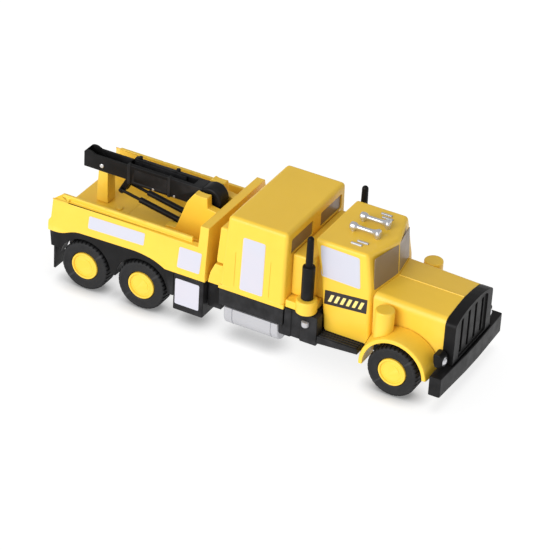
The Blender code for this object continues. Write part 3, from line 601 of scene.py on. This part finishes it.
def bed_shape():
    """The bed's floor, walls, rails, rear lip and bulkhead as one body."""
    bed = new_piece("bed_shell", block((BED_REAR + 1, 88.0), (-38, 38), (44.0, BED_FLOOR)))
    edge = rounded(BED_EDGE, 5)[6:-6]
    wall = [(REAR_END, 45.5), (REAR_END, BED_LOW)] + edge
    wall += [(63.0, BED_LOW), (88.0, BED_LOW), (88.0, WALL_TOP), (BED_REAR, WALL_TOP), (BED_REAR, 48.0)]
    rail = [(BED_INSIDE, 60.0), (38.3, 60.0), (38.3, RAIL_TOP), (BED_INSIDE, RAIL_TOP)]
    for side in (1, -1):
        add(bed, prism(wall, "Y", *sorted((side * BED_INSIDE, side * BED_HALF))))
        add(bed, prism([(side * y, z) for y, z in rail], "X", -21.8, 79.6))
        add(bed, bed_corner(side))
    lip = [(REAR_END, 45.5), (REAR_END, BED_LOW), (BED_REAR + 2, BED_LOW), (BED_REAR + 2, BED_FLOOR),
           (BED_REAR, BED_FLOOR)]
    add(bed, prism(lip, "Y", -44.0, 44.0))
    bulkhead = [[(start, -BED_HALF, z), (end, -BED_HALF, z), (end, BED_HALF, z), (start, BED_HALF, z)]
                for start, end, z in ((86.0, 94.0, BED_LOW), (85.9, 93.7, 43.0), (85.5, 92.0, 76.3))]
    add(bed, loft(bulkhead))
    lean = [(45.2, 42.0), (38.1, 78.35), (48, 78.35), (48, 42.0)]
    chamfer = [(-32, 41.2), (-28.4, 41.2), (-22.0, 35.9), (-22.0, 34), (-32, 34)]
    for side in (1, -1):
        cut(bed, prism([(side * y, z) for y, z in lean], "X", -33, 98))
        cut(bed, prism([(x, side * y) for x, y in chamfer], "Z", 48.0, 70.0))
    return bed


def bed_corner(side):
    """The slanted top of a side wall behind the rail."""
    rings = []
    for x, top in ((BED_REAR + 0.1, WALL_TOP + 0.1), (-22.0, RAIL_TOP), (-16.0, RAIL_TOP)):
        section = ((BED_INSIDE, 60.0), (BED_INSIDE, top), (41.2, WALL_TOP + 0.1), (41.3, 60.0))
        rings.append([(x, side * y, z) for y, z in section])
    return loft(rings)


def make_bed():
    bed = soften(bed_shape(), 0.5, 3, 35)
    nicks = [block((x - 1.2, x + 1.2), (side * 38.3 - 0.7, side * 38.3 + 0.7), (64.4, 67), 0.2)
             for x in (13.0, 43.0) for side in (1, -1)]
    cut(bed, *nicks, block((12.2, 12.7), (-35.2, 35.2), (45.7, 47.5)))
    add(bed, rod((4.0, -6.0, 45.0), (4.0, -6.0, 47.2), 2.4, 32, 0.7))
    dress(soften(bed), "yellow", "truck", "bed")
    long = [(1.8, 49.0), (45.4, 49.9), (45.4, 58.6), (1.8, 57.8)]
    square = [(72.3, 43.2), (89.5, 43.2), (89.5, 57.8), (72.3, 57.8)]
    for side, word in LEFT_AND_RIGHT:
        film("bed_sheet_long_" + word, bed, long, side, "sticker", "truck", 0.2, 1.2)
        film("bed_sheet_square_" + word, bed, square, side, "sticker", "truck", 0.2, 1.2)
    make_tower()
    refined("boom_rest_post", "yellow", "truck", 0.5)


def make_tower():
    """Two plates beside the boom on a thin base, with holes for the two pins."""
    outline = [(45.0, 47.0), (45.0, 51.5), (53.0, 52.0), (61.2, 75.0), (66.8, 83.2), (68.6, 82.4),
               (73.6, 82.2), (76.6, 82.6), (77.1, 74.8), (85.3, 73.6), (85.3, 47.0)]
    inside, outside = 8.4, 14.6
    base = block((44.6, 85.6), (-outside - 0.3, outside + 0.3), (BED_FLOOR + 0.3, 47.8))
    tower = new_piece("boom_tower_shell", base)
    for low, high in ((-outside, -inside), (inside, outside)):
        add(tower, prism(rounded(outline, 0.8, 3), "Y", low, high))
    soften(tower, 0.45, 3, 35)
    for node in ("boom_pivot_pin", "strut_base_pin"):
        x, y, z = limits(node)
        ends = [(sum(x) / 2, place, sum(z) / 2) for place in (y[0] - 0.2, y[1] + 0.2)]
        cut(tower, rod(*ends, (z[1] - z[0]) / 2 + 0.1, 40))
    dress(soften(tower), "yellow", "truck", "boom_tower")


# Sleeper: limits along X, half width and height, at the foot and at the roof.

SLEEPER = (((103.4, 152.4), 43.0, 36.7), ((107.2, 152.0), 41.0, 93.0))


def make_sleeper():
    low, top = SLEEPER[0][2], SLEEPER[1][2]
    sleeper = new_piece("sleeper_shell", loft_box(*SLEEPER, 3.0))
    wedge = [[(x, 27, z), (x, y, z), (106.5, y, z), (106.5, 27, z)]
             for x, y, z in ((94.7, 42.4, 37.9), (96.3, 42.4, 46.0), (98.8, 40.6, 52.6))]
    add(sleeper, mirrored(loft(wedge)))
    add(sleeper, loft_box(((99.7, 108), 41.4, 54.5), ((101.5, 109), 40.4, 82.0), 1.6))
    add(sleeper, loft_box(((103.1, 152.6), 43.25, low), ((103.4, 152.5), 43.05, low + 3.4), 0.5))
    cut(sleeper, loft_box(((106, 149.8), 40.4, low - 4), ((110.0, 149.6), 38.6, top - 2.2), 0))
    soften(sleeper, 0.35, 3, 50)
    for x, high in ((114.8, 68.0), (141.0, 69.0)):
        line = [(x - 0.3, low + 5.5), (x + 0.3, low + 5.5), (x + 0.3, high), (x - 0.3, high)]
        cut(sleeper, mirrored(slanted_line(line)))
    soften(sleeper)
    panes = []
    for side, word in LEFT_AND_RIGHT:
        corners = [(front_of_sleeper(z), side * y, z)
                   for y, z in ((5.3, 75.6), (35.6, 75.6), (35.2, 86.6), (5.3, 86.6))]
        panes.append(pane(sleeper, "sleeper_pane_" + word, corners, (1, 0, 0.05), "truck", 1.6, 1.1))
        door = [(119.2, 41.0), (136.4, 41.0), (136.2, 80.8), (119.6, 80.8)]
        film("sleeper_sheet_" + word, sleeper, door, side, "sticker", "truck", 0.22, 1.6)
    dress(sleeper, "yellow", "truck", "sleeper")
    lay_panes(panes)


def front_of_sleeper(z):
    """How far the sleeper's front wall reaches at a height."""
    (_, low), (_, high) = SLEEPER[0][0], SLEEPER[1][0]
    return low + (high - low) * (z - SLEEPER[0][2]) / (SLEEPER[1][2] - SLEEPER[0][2])


def slanted_line(line):
    """A shallow groove on the sleeper's side, which leans inward."""
    low, high = SLEEPER
    rings = []
    for offset in (-0.45, 1.5):
        rings.append([(x, low[1] + (high[1] - low[1]) * (z - low[2]) / (high[2] - low[2]) + offset, z)
                      for x, z in line])
    return loft(rings)


def loft_box(low, high, edge, steps=7):
    """A box whose top is another rectangle: (x limits, half width, height) below and above."""
    rings = []
    for (start, end), half, z in (low, high):
        rings.append([(start, -half, z), (end, -half, z), (end, half, z), (start, half, z)])
    shape = loft(rings)
    round_edges(shape, edge, steps)
    return shape


# Cab, link and roof.

# Each ring: its height, how far the rear, the front corners and the nose reach, and half widths there.
CAB_RINGS = ((24.0, 177.0, 211.0, 212.4, 32.0, 32.0), (56.0, 173.4, 209.6, 213.6, 31.2, 31.0),
             (63.0, 172.4, 209.1, 214.4, 31.0, 30.6), (89.9, 165.8, 204.3, 213.0, 29.8, 29.8))
CAB_WALL = 2.2
STACK = (167.3, 38.6)
COLLAR_RADIUS = 7.3
COLLAR_TOP = 48.4


def cab_ring(z, rear, corner, nose, half_rear, half_front):
    return [(rear, half_rear, z), (rear, -half_rear, z), (corner, -half_front, z), (nose, 0, z),
            (corner, half_front, z)]


def cab_levels():
    """The cab's rings with more of them up the twisted windshield."""
    *lower, belt, roof = CAB_RINGS
    steps = 8
    between = [[a + (b - a) * k / steps for a, b in zip(belt, roof)] for k in range(1, steps)]
    return [*lower, belt, *between, roof]


def make_cab():
    """A shell with a blunt V front, joined to the link that leads to the sleeper."""
    outer = loft([cab_ring(*ring) for ring in cab_levels()])
    edges = [e for e in outer.edges if max(v.co.z for v in e.verts) > 24.5]
    nose = [e for e in edges if all(abs(v.co.y) < 0.1 for v in e.verts)]
    level = [e for e in edges if all(30 < v.co.z < 89 for v in e.verts)
             and abs(e.verts[0].co.z - e.verts[1].co.z) < MERGE]
    sharp = set(nose) | set(level)
    round_edges(outer, 2.4, 7, [e for e in edges if e not in sharp])
    cab = new_piece("cab_shell", outer)
    add(cab, block((152.5, 168.5), (-33.8, 33.8), (44.3, 75.6), 1.6, 5))
    add(cab, block((164, 178), (-27, 27), (44.3, 74.6), 0.6))
    inner = [[z, rear + CAB_WALL] + [reach - CAB_WALL for reach in rest] for z, rear, *rest in CAB_RINGS]
    inner[0][0] = 20.0
    inner[-1][0] = 87.6
    cut(cab, loft([cab_ring(*ring) for ring in inner]))
    cut(cab, block((154.5, 180), (-25, 25), (43.3, 72.5)))
    for side in (1, -1):
        low, high = [(STACK[0], side * STACK[1], z) for z in (40, COLLAR_TOP + 0.3)]
        cut(cab, rod(low, high, COLLAR_RADIUS + 0.3, 72))
        cut(cab, rear_foot(side))
    for side in (1, -1):
        cut(cab, fender_body(side, 0.3))
    soften(cab, 0.3, 3, 50)
    panes = []
    window = [(172.6, 64.2), (201.6, 63.4), (199.2, 85.9), (170.6, 86.6)]
    for side, word in LEFT_AND_RIGHT:
        edge = 26.6 if side < 0 else 23.6
        outline = ((edge, 63.1), (0.4, 64.2), (0.4, 86.2), (edge - 0.8, 86.2))
        corners = [(cab_front(y, z), side * y, z) for y, z in outline]
        panes.append(pane(cab, "windshield_" + word, corners, (1, side * 0.2, 0.2), "truck", 1.0, 0.3))
    dress(cab, "yellow", "truck", "cab")
    lay_panes(panes)
    for side, word in LEFT_AND_RIGHT:
        film("cab_window_" + word, cab, window, side, "sticker", "truck", 0.22, 1.6)
        make_label(cab, side, word)


def cab_front(y, z):
    """How far the cab's front reaches at a place on its blunt V."""
    for low, high in zip(CAB_RINGS, CAB_RINGS[1:]):
        if z <= high[0] or high is CAB_RINGS[-1]:
            share = (z - low[0]) / (high[0] - low[0])
            corner, nose, half = [low[i] + (high[i] - low[i]) * share for i in (2, 3, 5)]
            return nose + (corner - nose) * abs(y) / half


def rear_foot(side):
    """The space outside the cab's rounded lower rear corner."""
    outline = [(170, 20), (181, 20), (181, 24.0)] + arc((180.4, 27.4), 3.4, 270, 180, 8)
    outline += [(177.0, 30), (170, 30)]
    return prism(outline, "Y", *sorted((side * 29.0, side * 34.0)))


def make_label(cab, side, word):
    """A dark label on the door with plain slanted hazard bars."""
    lower, upper = (44.0, 46.6), (54.6, 57.2)
    start, end = 176.5, 207.5
    outline = [(start, lower[0]), (end, lower[1]), (end, upper[1]), (start, upper[0])]
    film("door_label_" + word, cab, outline, side, "label", "truck", 0.2, 0.4)
    for k in range(6):
        x = start + 2.6 + k * 4.4
        rise = (lower[1] - lower[0]) * (x - start) / (end - start)
        bar = [(x, 46.4 + rise), (x + 2.4, 46.6 + rise), (x + 4.6, 52.4 + rise), (x + 2.2, 52.2 + rise)]
        film("door_label_bar_%s_%d" % (word, k + 1), cab, bar, side, "mark", "truck", 0.28, 0.3)


def make_roof():
    profile = [(0, 22.1), (1.6, 22.1), (2.7, 21.8), (3.2, 21.2), (3.25, 20.2), (2.9, 19.3), (2.3, 18.3),
               (1.85, 16.9), (1.55, 14.0), (1.45, 9.5), (1.5, 6.2), (1.8, 5.0), (2.5, 4.2), (2.75, 3.3),
               (2.75, 1.3), (2.45, 0.5), (1.7, 0.0), (0, 0)]
    for side, word in LEFT_AND_RIGHT:
        place = middle("horn_" + word)
        start = limits("horn_" + word)[0][0]
        horn = new_piece("horn_shell_" + word, revolve(profile, (start, place.y, place.z), "X", 48))
        for x, radius in ((start + 2.3, 1.6), (start + 20.2, 1.9)):
            add(horn, rod((x, place.y, 90.0), (x, place.y, place.z), radius, 24))
        dress(soften(horn, 0.1, 2, 60), "chrome", "truck", "horn_" + word)
        for k, (x, y) in enumerate(((188.2, 21.8), (190.8, 17.8))):
            bar = rod((x, side * y, 90.2), (x + 8, side * y, 90.2), 0.95, 24, 0.4)
            dress(soften(new_piece("roof_bar_%s_%d" % (word, k + 1), bar)), "silver", "truck")


# Hood, fenders and front end.

def hood_section(half, crown, shoulder, inset=0.0):
    """The hood's cross-section from one lower edge over the crease to the other."""
    radius = 5.4
    side = [(half - inset, 23.9), (half - inset, shoulder - radius - 0.4)]
    centre = (half - radius, shoulder - radius + 0.2)
    side += arc(centre, radius - inset, 4, 80, 9)
    side += [(0.35, crown - inset - 0.03), (0.2, crown - inset + 0.32)]
    return side + [(0, crown - inset + 0.4)] + [(-y, z) for y, z in reversed(side)]


def make_hood():
    """The hood, whose rear edge follows the blunt V of the cab's front."""
    rows = []
    for x, half, crown, shoulder in ((None, 27.8, 62.9, 61.6), (262.2, 27.4, 62.5, 60.0)):
        section = hood_section(half, crown, shoulder) + hood_section(half, crown, shoulder, 2.0)[::-1]
        rows.append([Vector((x or cab_front(y, z) + 0.15, y, z)) for y, z in section])
    steps = 6
    rings = [[a.lerp(b, k / steps) for a, b in zip(*rows)] for k in range(steps + 1)]
    dress(soften(new_piece("hood_shell", loft(rings))), "yellow", "truck", "hood")


# Each section: how far it lies from the middle, how far it reaches along X and how high it rises.
FENDER_SECTIONS = ((28.3, 27.2, 25.8), (33.0, 26.4, 25.7), (40.0, 25.2, 25.3), (43.8, 24.9, 25.0),
                   (45.0, 24.2, 24.4))
FENDER_INSIDE = 21.8
FENDER_STEPS = 40
FRONT_AXLE = sum(limits("front_axle")[0]) / 2
TYRE_RADIUS = 18.3
AIR_CLEANER = (222.9, 35.9)


def fender_arc(y, reach, rise):
    """Points over the front axle from front to rear."""
    points = []
    for i in range(FENDER_STEPS + 1):
        angle = math.radians(4 + 179 * i / FENDER_STEPS)
        points.append((FRONT_AXLE + reach * math.cos(angle), y, TYRE_RADIUS + rise * math.sin(angle)))
    return points


def fender_body(side, grow=0.0):
    """An arched fender, or with a growth the filled space that it and a gap around it take up."""
    rings = []
    for y, reach, rise in FENDER_SECTIONS:
        outer = fender_arc(side * y, reach + grow, rise + grow)
        inner = fender_arc(side * y, FENDER_INSIDE, FENDER_INSIDE)[::-1]
        if grow:
            inner = [(FRONT_AXLE - reach, side * y, 12.0), (FRONT_AXLE + reach, side * y, 12.0)]
        rings.append(outer + inner)
    return loft(rings)


def make_front():
    for side, word in LEFT_AND_RIGHT:
        fender = soften(new_piece("fender_shell_" + word, fender_body(side)), 0.35, 3, 55)
        dress(fender, "yellow", "truck", "fender_" + word)
        low, high = [(AIR_CLEANER[0], side * AIR_CLEANER[1], z) for z in (36.0, 58.4)]
        canister = new_piece("air_cleaner_shell_" + word, rod(low, high, 6.6, 64, 1.0))
        cut(canister, fender_body(side, 0.1))
        dress(soften(canister, 0.15, 2, 60), "yellow", "truck", "air_cleaner_" + word)
        make_headlight(side, word)
    make_grille()
    refined("bumper", "black", "truck", 0.5)


def make_headlight(side, word):
    """A housing with chamfered edges and a round silver lamp that bulges to the front."""
    inside, outside = sorted((side * 30.2, side * 38.4))
    outline = [(262.2, 28.6), (266.8, 29.6), (267.3, 36.4), (265.0, 38.6), (260.4, 38.6), (260.7, 32.0)]
    housing = prism(rounded(outline, 1.2), "Y", inside, outside)
    lamp = soften(new_piece("lamp_" + word, housing), 0.6, 3, 40)
    dress(lamp, "black", "truck", "headlight_" + word)
    profile = [(0, 1.4), (1.0, 1.3), (1.9, 1.0), (2.5, 0.5), (2.8, 0.2), (3.15, 0.2), (3.3, -0.2),
               (3.2, -1.6), (0, -1.6)]
    lens = revolve(profile, (267.1, (inside + outside) / 2, 32.9), "X", 48)
    dress(soften(new_piece("lamp_lens_" + word, lens)), "chrome", "truck")


def make_grille():
    """A thick frame whose arched opening holds five broad shallow bars."""
    half = 28.4
    crown = [(half, 25.6), (half, 57.4), (24, 59.6), (18, 61.3), (12, 62.3), (6, 62.8), (0, 63.0)]
    outline = crown + [(-y, z) for y, z in reversed(crown[:-1])]
    grille = new_piece("grille_frame", prism(rounded(outline, 2.2), "X", 262.5, 270.4))
    field = [(20.6, 29.0), (20.6, 57.0), (18, 58.6), (12, 60.0), (6, 60.7), (0, 60.9)]
    recess = field + [(-y, z) for y, z in reversed(field[:-1])]
    cut(grille, prism(rounded(recess, 1.2), "X", 269.2, 275))
    slots = []
    for k in range(4):
        y = -15.3 + 10.2 * k
        top = 57.6 - 3.0 * (abs(y) / 22) ** 2
        slots.append(block((267.4, 272), (y - 1.5, y + 1.5), (30.6, top), 0.3, 2))
    cut(grille, *slots)
    soften(grille, 0.35, 3, 50)
    dress(grille, "black", "truck", "grille")


# Stacks.

def make_stacks():
    deck = new_piece("stack_base", block((152.9, 172.9), (-41.6, 41.6), (38.3, 44.0), 0.9, 4))
    for side in (1, -1):
        low, high = [(STACK[0], side * STACK[1], z) for z in (38.5, COLLAR_TOP)]
        add(deck, rod(low, high, COLLAR_RADIUS, 72, 1.0))
    cut(deck, mirrored(block((172.6, 178), (20, 33.6), (36, 50))))
    soften(deck, 0.3, 3, 55)
    dress(deck, "yellow", "truck", "stack_deck")
    profile = [(0, 47.4)] + [(r, h + 45.2) for r, h in arc((0, 0), 2.25, 80, 0, 6)]
    profile += [(2.5, 26.0), (2.6, 25.4), (3.7, 25.0), (4.15, 24.7), (4.35, 24.1), (4.3, 12), (4.25, 0.4),
                (3.9, 0), (0, 0)]
    for side, word in LEFT_AND_RIGHT:
        base = limits("exhaust_" + word)[2][0]
        stack = revolve(profile, (STACK[0], side * STACK[1], base), "Z", 56)
        dress(soften(new_piece("stack_" + word, stack)), "black", "truck", "exhaust_" + word)


# Wheels.

TYRE_INSIDE = 31.3
TYRE_OUTSIDE = 44.8
HUB_INSIDE = 32.3
HUB_FACE = 45.0
LUGS = 36
LUG_STEPS = (0.0, 0.1, 0.13, 0.47, 0.5, 0.6, 0.63, 0.97)
GROOVE = 0.55


def tread_depth(phase):
    """How deep the tread lies at a place within the pitch of the lugs."""
    return GROOVE if 0.62 < phase % 1.0 < 0.98 else 0.0


def tyre_shape(x, side):
    """A tyre whose two rows of lugs are set half a pitch apart."""
    radius = TYRE_RADIUS
    floor = radius - GROOVE
    inner, outer = TYRE_INSIDE, TYRE_OUTSIDE
    centre = (inner + outer) / 2
    rings = []
    for k in range(LUGS):
        for step in LUG_STEPS:
            angle = 2 * math.pi * (k + step) / LUGS
            out_low = tread_depth(step)
            in_low = tread_depth(step + 0.5)
            profile = [(10.2, inner), (16.4, inner), (17.1, inner + 0.12),
                       (17.6 - in_low * 0.5, inner + 0.5), (18.0 - in_low, inner + 1.0),
                       (radius - in_low, inner + 1.8), (radius - in_low, centre - 1.0),
                       (floor, centre - 0.8), (floor, centre + 0.8), (radius - out_low, centre + 1.0),
                       (radius - out_low, outer - 1.8), (18.0 - out_low, outer - 1.0),
                       (17.6 - out_low * 0.5, outer - 0.5), (17.1, outer - 0.12), (16.4, outer),
                       (15.4, outer - 0.04), (15.1, outer - 0.3), (12.4, outer - 0.25), (10.9, outer - 0.5),
                       (10.35, outer - 0.9), (10.2, outer - 1.4)]
            rings.append([(x + r * math.cos(angle), side * y, TYRE_RADIUS + r * math.sin(angle))
                          for r, y in profile])
    return loft(rings, closed=True)


def hub_shape(x, side):
    """A hub with a stepped face and a hollow back."""
    depth = HUB_FACE - HUB_INSIDE
    profile = [(0, depth - 1.0), (4.2, depth - 1.0), (6.4, depth - 1.0), (6.6, depth - 1.08),
               (6.8, depth - 1.22), (7.1, depth - 1.24), (8.0, depth - 1.24), (8.3, depth - 1.1),
               (8.5, depth - 0.35), (8.75, depth - 0.06), (9.1, depth), (9.5, depth - 0.04),
               (9.8, depth - 0.25), (9.95, depth - 0.7), (10.0, depth - 1.6), (10.0, 0), (8.2, 0),
               (8.2, depth - 3.4), (4.2, depth - 3.4), (4.2, 0), (1.8, 0), (1.8, depth - 2.4),
               (0, depth - 2.4)]
    axis = "Y" if side > 0 else "-Y"
    return revolve(profile, (x, side * HUB_INSIDE, TYRE_RADIUS), axis, 96)


def crescent(x, side, start, end):
    """A low curved ridge on a hub's face."""
    outer = arc((x, TYRE_RADIUS), 5.15, start, end, 24)
    inner = arc((x, TYRE_RADIUS), 4.6, end, start, 24)
    low, high = sorted((side * 43.7, side * 44.25))
    return prism(outer + inner, "Y", low, high)


def make_wheels():
    for name in AXLES:
        x = sum(limits(name + "_axle")[0]) / 2
        body = name + "_wheelset"
        for side, word in LEFT_AND_RIGHT:
            tyre = soften(new_piece("%s_tread_%s" % (name, word), tyre_shape(x, side)))
            dress(tyre, "tyre", body, "%s_tyre_%s" % (name, word))
            hub = new_piece("%s_rim_%s" % (name, word), hub_shape(x, side))
            add(hub, crescent(x, side, -20, 80))
            soften(hub, 0.08, 2, 60)
            dress(hub, "yellow", body, "%s_hub_%s" % (name, word))


# Boom and struts.

def make_boom():
    panels = [block((14.5, 40.4), sorted((side * 5.9, side * 7)), (70.6, 80.4), 0.2) for side in (1, -1)]
    refined("boom_sleeve", "black", "boom", 0.3, panels)
    refined("boom_extension", "black", "boom_extension", 0.3)
    for k, x in enumerate((13.0, 42.8)):
        knob = rod((x, 5.2, 82.4), (x, 5.2, 85.0), 1.5, 28, 0.6)
        dress(soften(new_piece("boom_knob_%d" % (k + 1), knob)), "black", "boom")
    for k, x in enumerate((30.0, 46.5)):
        for side, word in LEFT_AND_RIGHT:
            start = Vector((x, side * 6.0, 70.0))
            stud = rod(start, start + Vector((0, side * 0.7, 0)), 0.9, 24, 0.25)
            dress(soften(new_piece("boom_stud_%s_%d" % (word, k + 1), stud)), "chrome", "boom")
    refined("strut_barrels", "black", "strut_barrels", 0.25)
    refined("strut_rods", "black", "strut_rods", 0.2)


def finish_cad_nodes():
    """Pins, axles and screws keep their CAD shapes and get a steel finish."""
    steel = ["rear_axle", "middle_axle", "front_axle", "boom_pivot_pin", "boom_tip_pin", "strut_base_pin"]
    steel += [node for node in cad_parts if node.startswith("screw_")]
    for node in steel:
        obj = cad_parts[node]
        for place in obj.material_slots:
            place.material = FINISHES["steel"]


# Studio.  The world and the floor's own glow give the even light, and the key gives it a direction.

WORLD_LIGHT = 0.5
FLOOR_SIZE = 12.0
FLOOR_GLOW = 0.84
CONTACT_SHADE = 0.014
KEY_STRENGTH = 2.3
KEY_SPREAD = 50.0
TOWARDS_KEY = Vector((-0.22, -0.88, 0.42))


def make_camera():
    data = bpy.data.cameras.new("camera")
    data.lens = CAMERA_LENS
    data.sensor_width = SENSOR
    data.sensor_fit = 'AUTO'
    data.clip_start = 0.01
    data.clip_end = 30
    camera = bpy.data.objects.new("camera", data)
    bpy.context.scene.collection.objects.link(camera)
    azimuth, elevation, roll = [math.radians(a) for a in (CAMERA_AZIMUTH, CAMERA_ELEVATION, CAMERA_ROLL)]
    back = Vector((math.sin(azimuth) * math.cos(elevation), -math.cos(azimuth) * math.cos(elevation),
                   math.sin(elevation)))
    right = Vector((math.cos(azimuth), math.sin(azimuth), 0))
    up = back.cross(right)
    turned_right = right * math.cos(roll) + up * math.sin(roll)
    turned_up = up * math.cos(roll) - right * math.sin(roll)
    rotation = Matrix((turned_right, turned_up, back)).transposed()
    camera.matrix_world = Matrix.Translation(CAMERA_PLACE) @ rotation.to_4x4()
    bpy.context.scene.camera = camera


def make_floor():
    """A pale floor that glows, with a painted contact shadow where the glow drops close to what stands on
    it.
    """
    mesh = bpy.data.meshes.new("floor")
    corners = [(a * FLOOR_SIZE, b * FLOOR_SIZE, 0) for a, b in ((-1, -1), (1, -1), (1, 1), (-1, 1))]
    mesh.from_pydata(corners, [], [(0, 1, 2, 3)])
    floor = bpy.data.objects.new("floor", mesh)
    bpy.context.scene.collection.objects.link(floor)
    material, tree, shader = shader_of("floor_paper")
    shader.inputs["Base Color"].default_value = (0.42, 0.42, 0.42, 1)
    shader.inputs["Roughness"].default_value = 0.9
    shader.inputs["Specular IOR Level"].default_value = 0.1
    shader.inputs["Emission Color"].default_value = (1, 1, 1, 1)
    contact = tree.nodes.new("ShaderNodeAmbientOcclusion")
    contact.inputs["Distance"].default_value = CONTACT_SHADE
    # The glow drops near contacts: a painted contact shadow.
    glow = spread(tree, contact.outputs["AO"], FLOOR_GLOW * 0.25, FLOOR_GLOW, 0.35, 0.95)
    tree.links.new(glow, shader.inputs["Emission Strength"])
    bumps(tree, shader, [(noise(tree, 60, 3), 0.05, 0.0002)])
    mesh.materials.append(material)
    return floor


def make_lights(floor):
    """An even white world, and a broad key light that leaves the floor out."""
    world = bpy.data.worlds.new("studio")
    world.use_nodes = True
    bpy.context.scene.world = world
    tree = world.node_tree
    background = tree.nodes["Background"]
    path = tree.nodes.new("ShaderNodeLightPath")
    level = tree.nodes.new("ShaderNodeMapRange")
    level.inputs["To Min"].default_value = WORLD_LIGHT
    level.inputs["To Max"].default_value = 1.0
    tree.links.new(path.outputs["Is Camera Ray"], level.inputs["Value"])
    tree.links.new(level.outputs["Result"], background.inputs["Strength"])
    background.inputs["Color"].default_value = (1, 1, 1, 1)
    data = bpy.data.lights.new("key", 'SUN')
    data.energy = KEY_STRENGTH
    data.angle = math.radians(KEY_SPREAD)
    key = bpy.data.objects.new("key", data)
    bpy.context.scene.collection.objects.link(key)
    key.rotation_mode = 'QUATERNION'
    key.rotation_quaternion = (-TOWARDS_KEY).to_track_quat('-Z', 'Y')
    unlit = bpy.data.collections.new("not_under_key")
    unlit.objects.link(floor)
    key.light_linking.receiver_collection = unlit
    unlit.collection_objects[0].light_linking.link_state = 'EXCLUDE'
    bpy.context.scene.view_settings.view_transform = 'Standard'


make_camera()
make_chassis()
make_bed()
make_sleeper()
make_cab()
make_roof()
make_hood()
make_front()
make_stacks()
make_wheels()
make_boom()
finish_cad_nodes()
make_lights(make_floor())
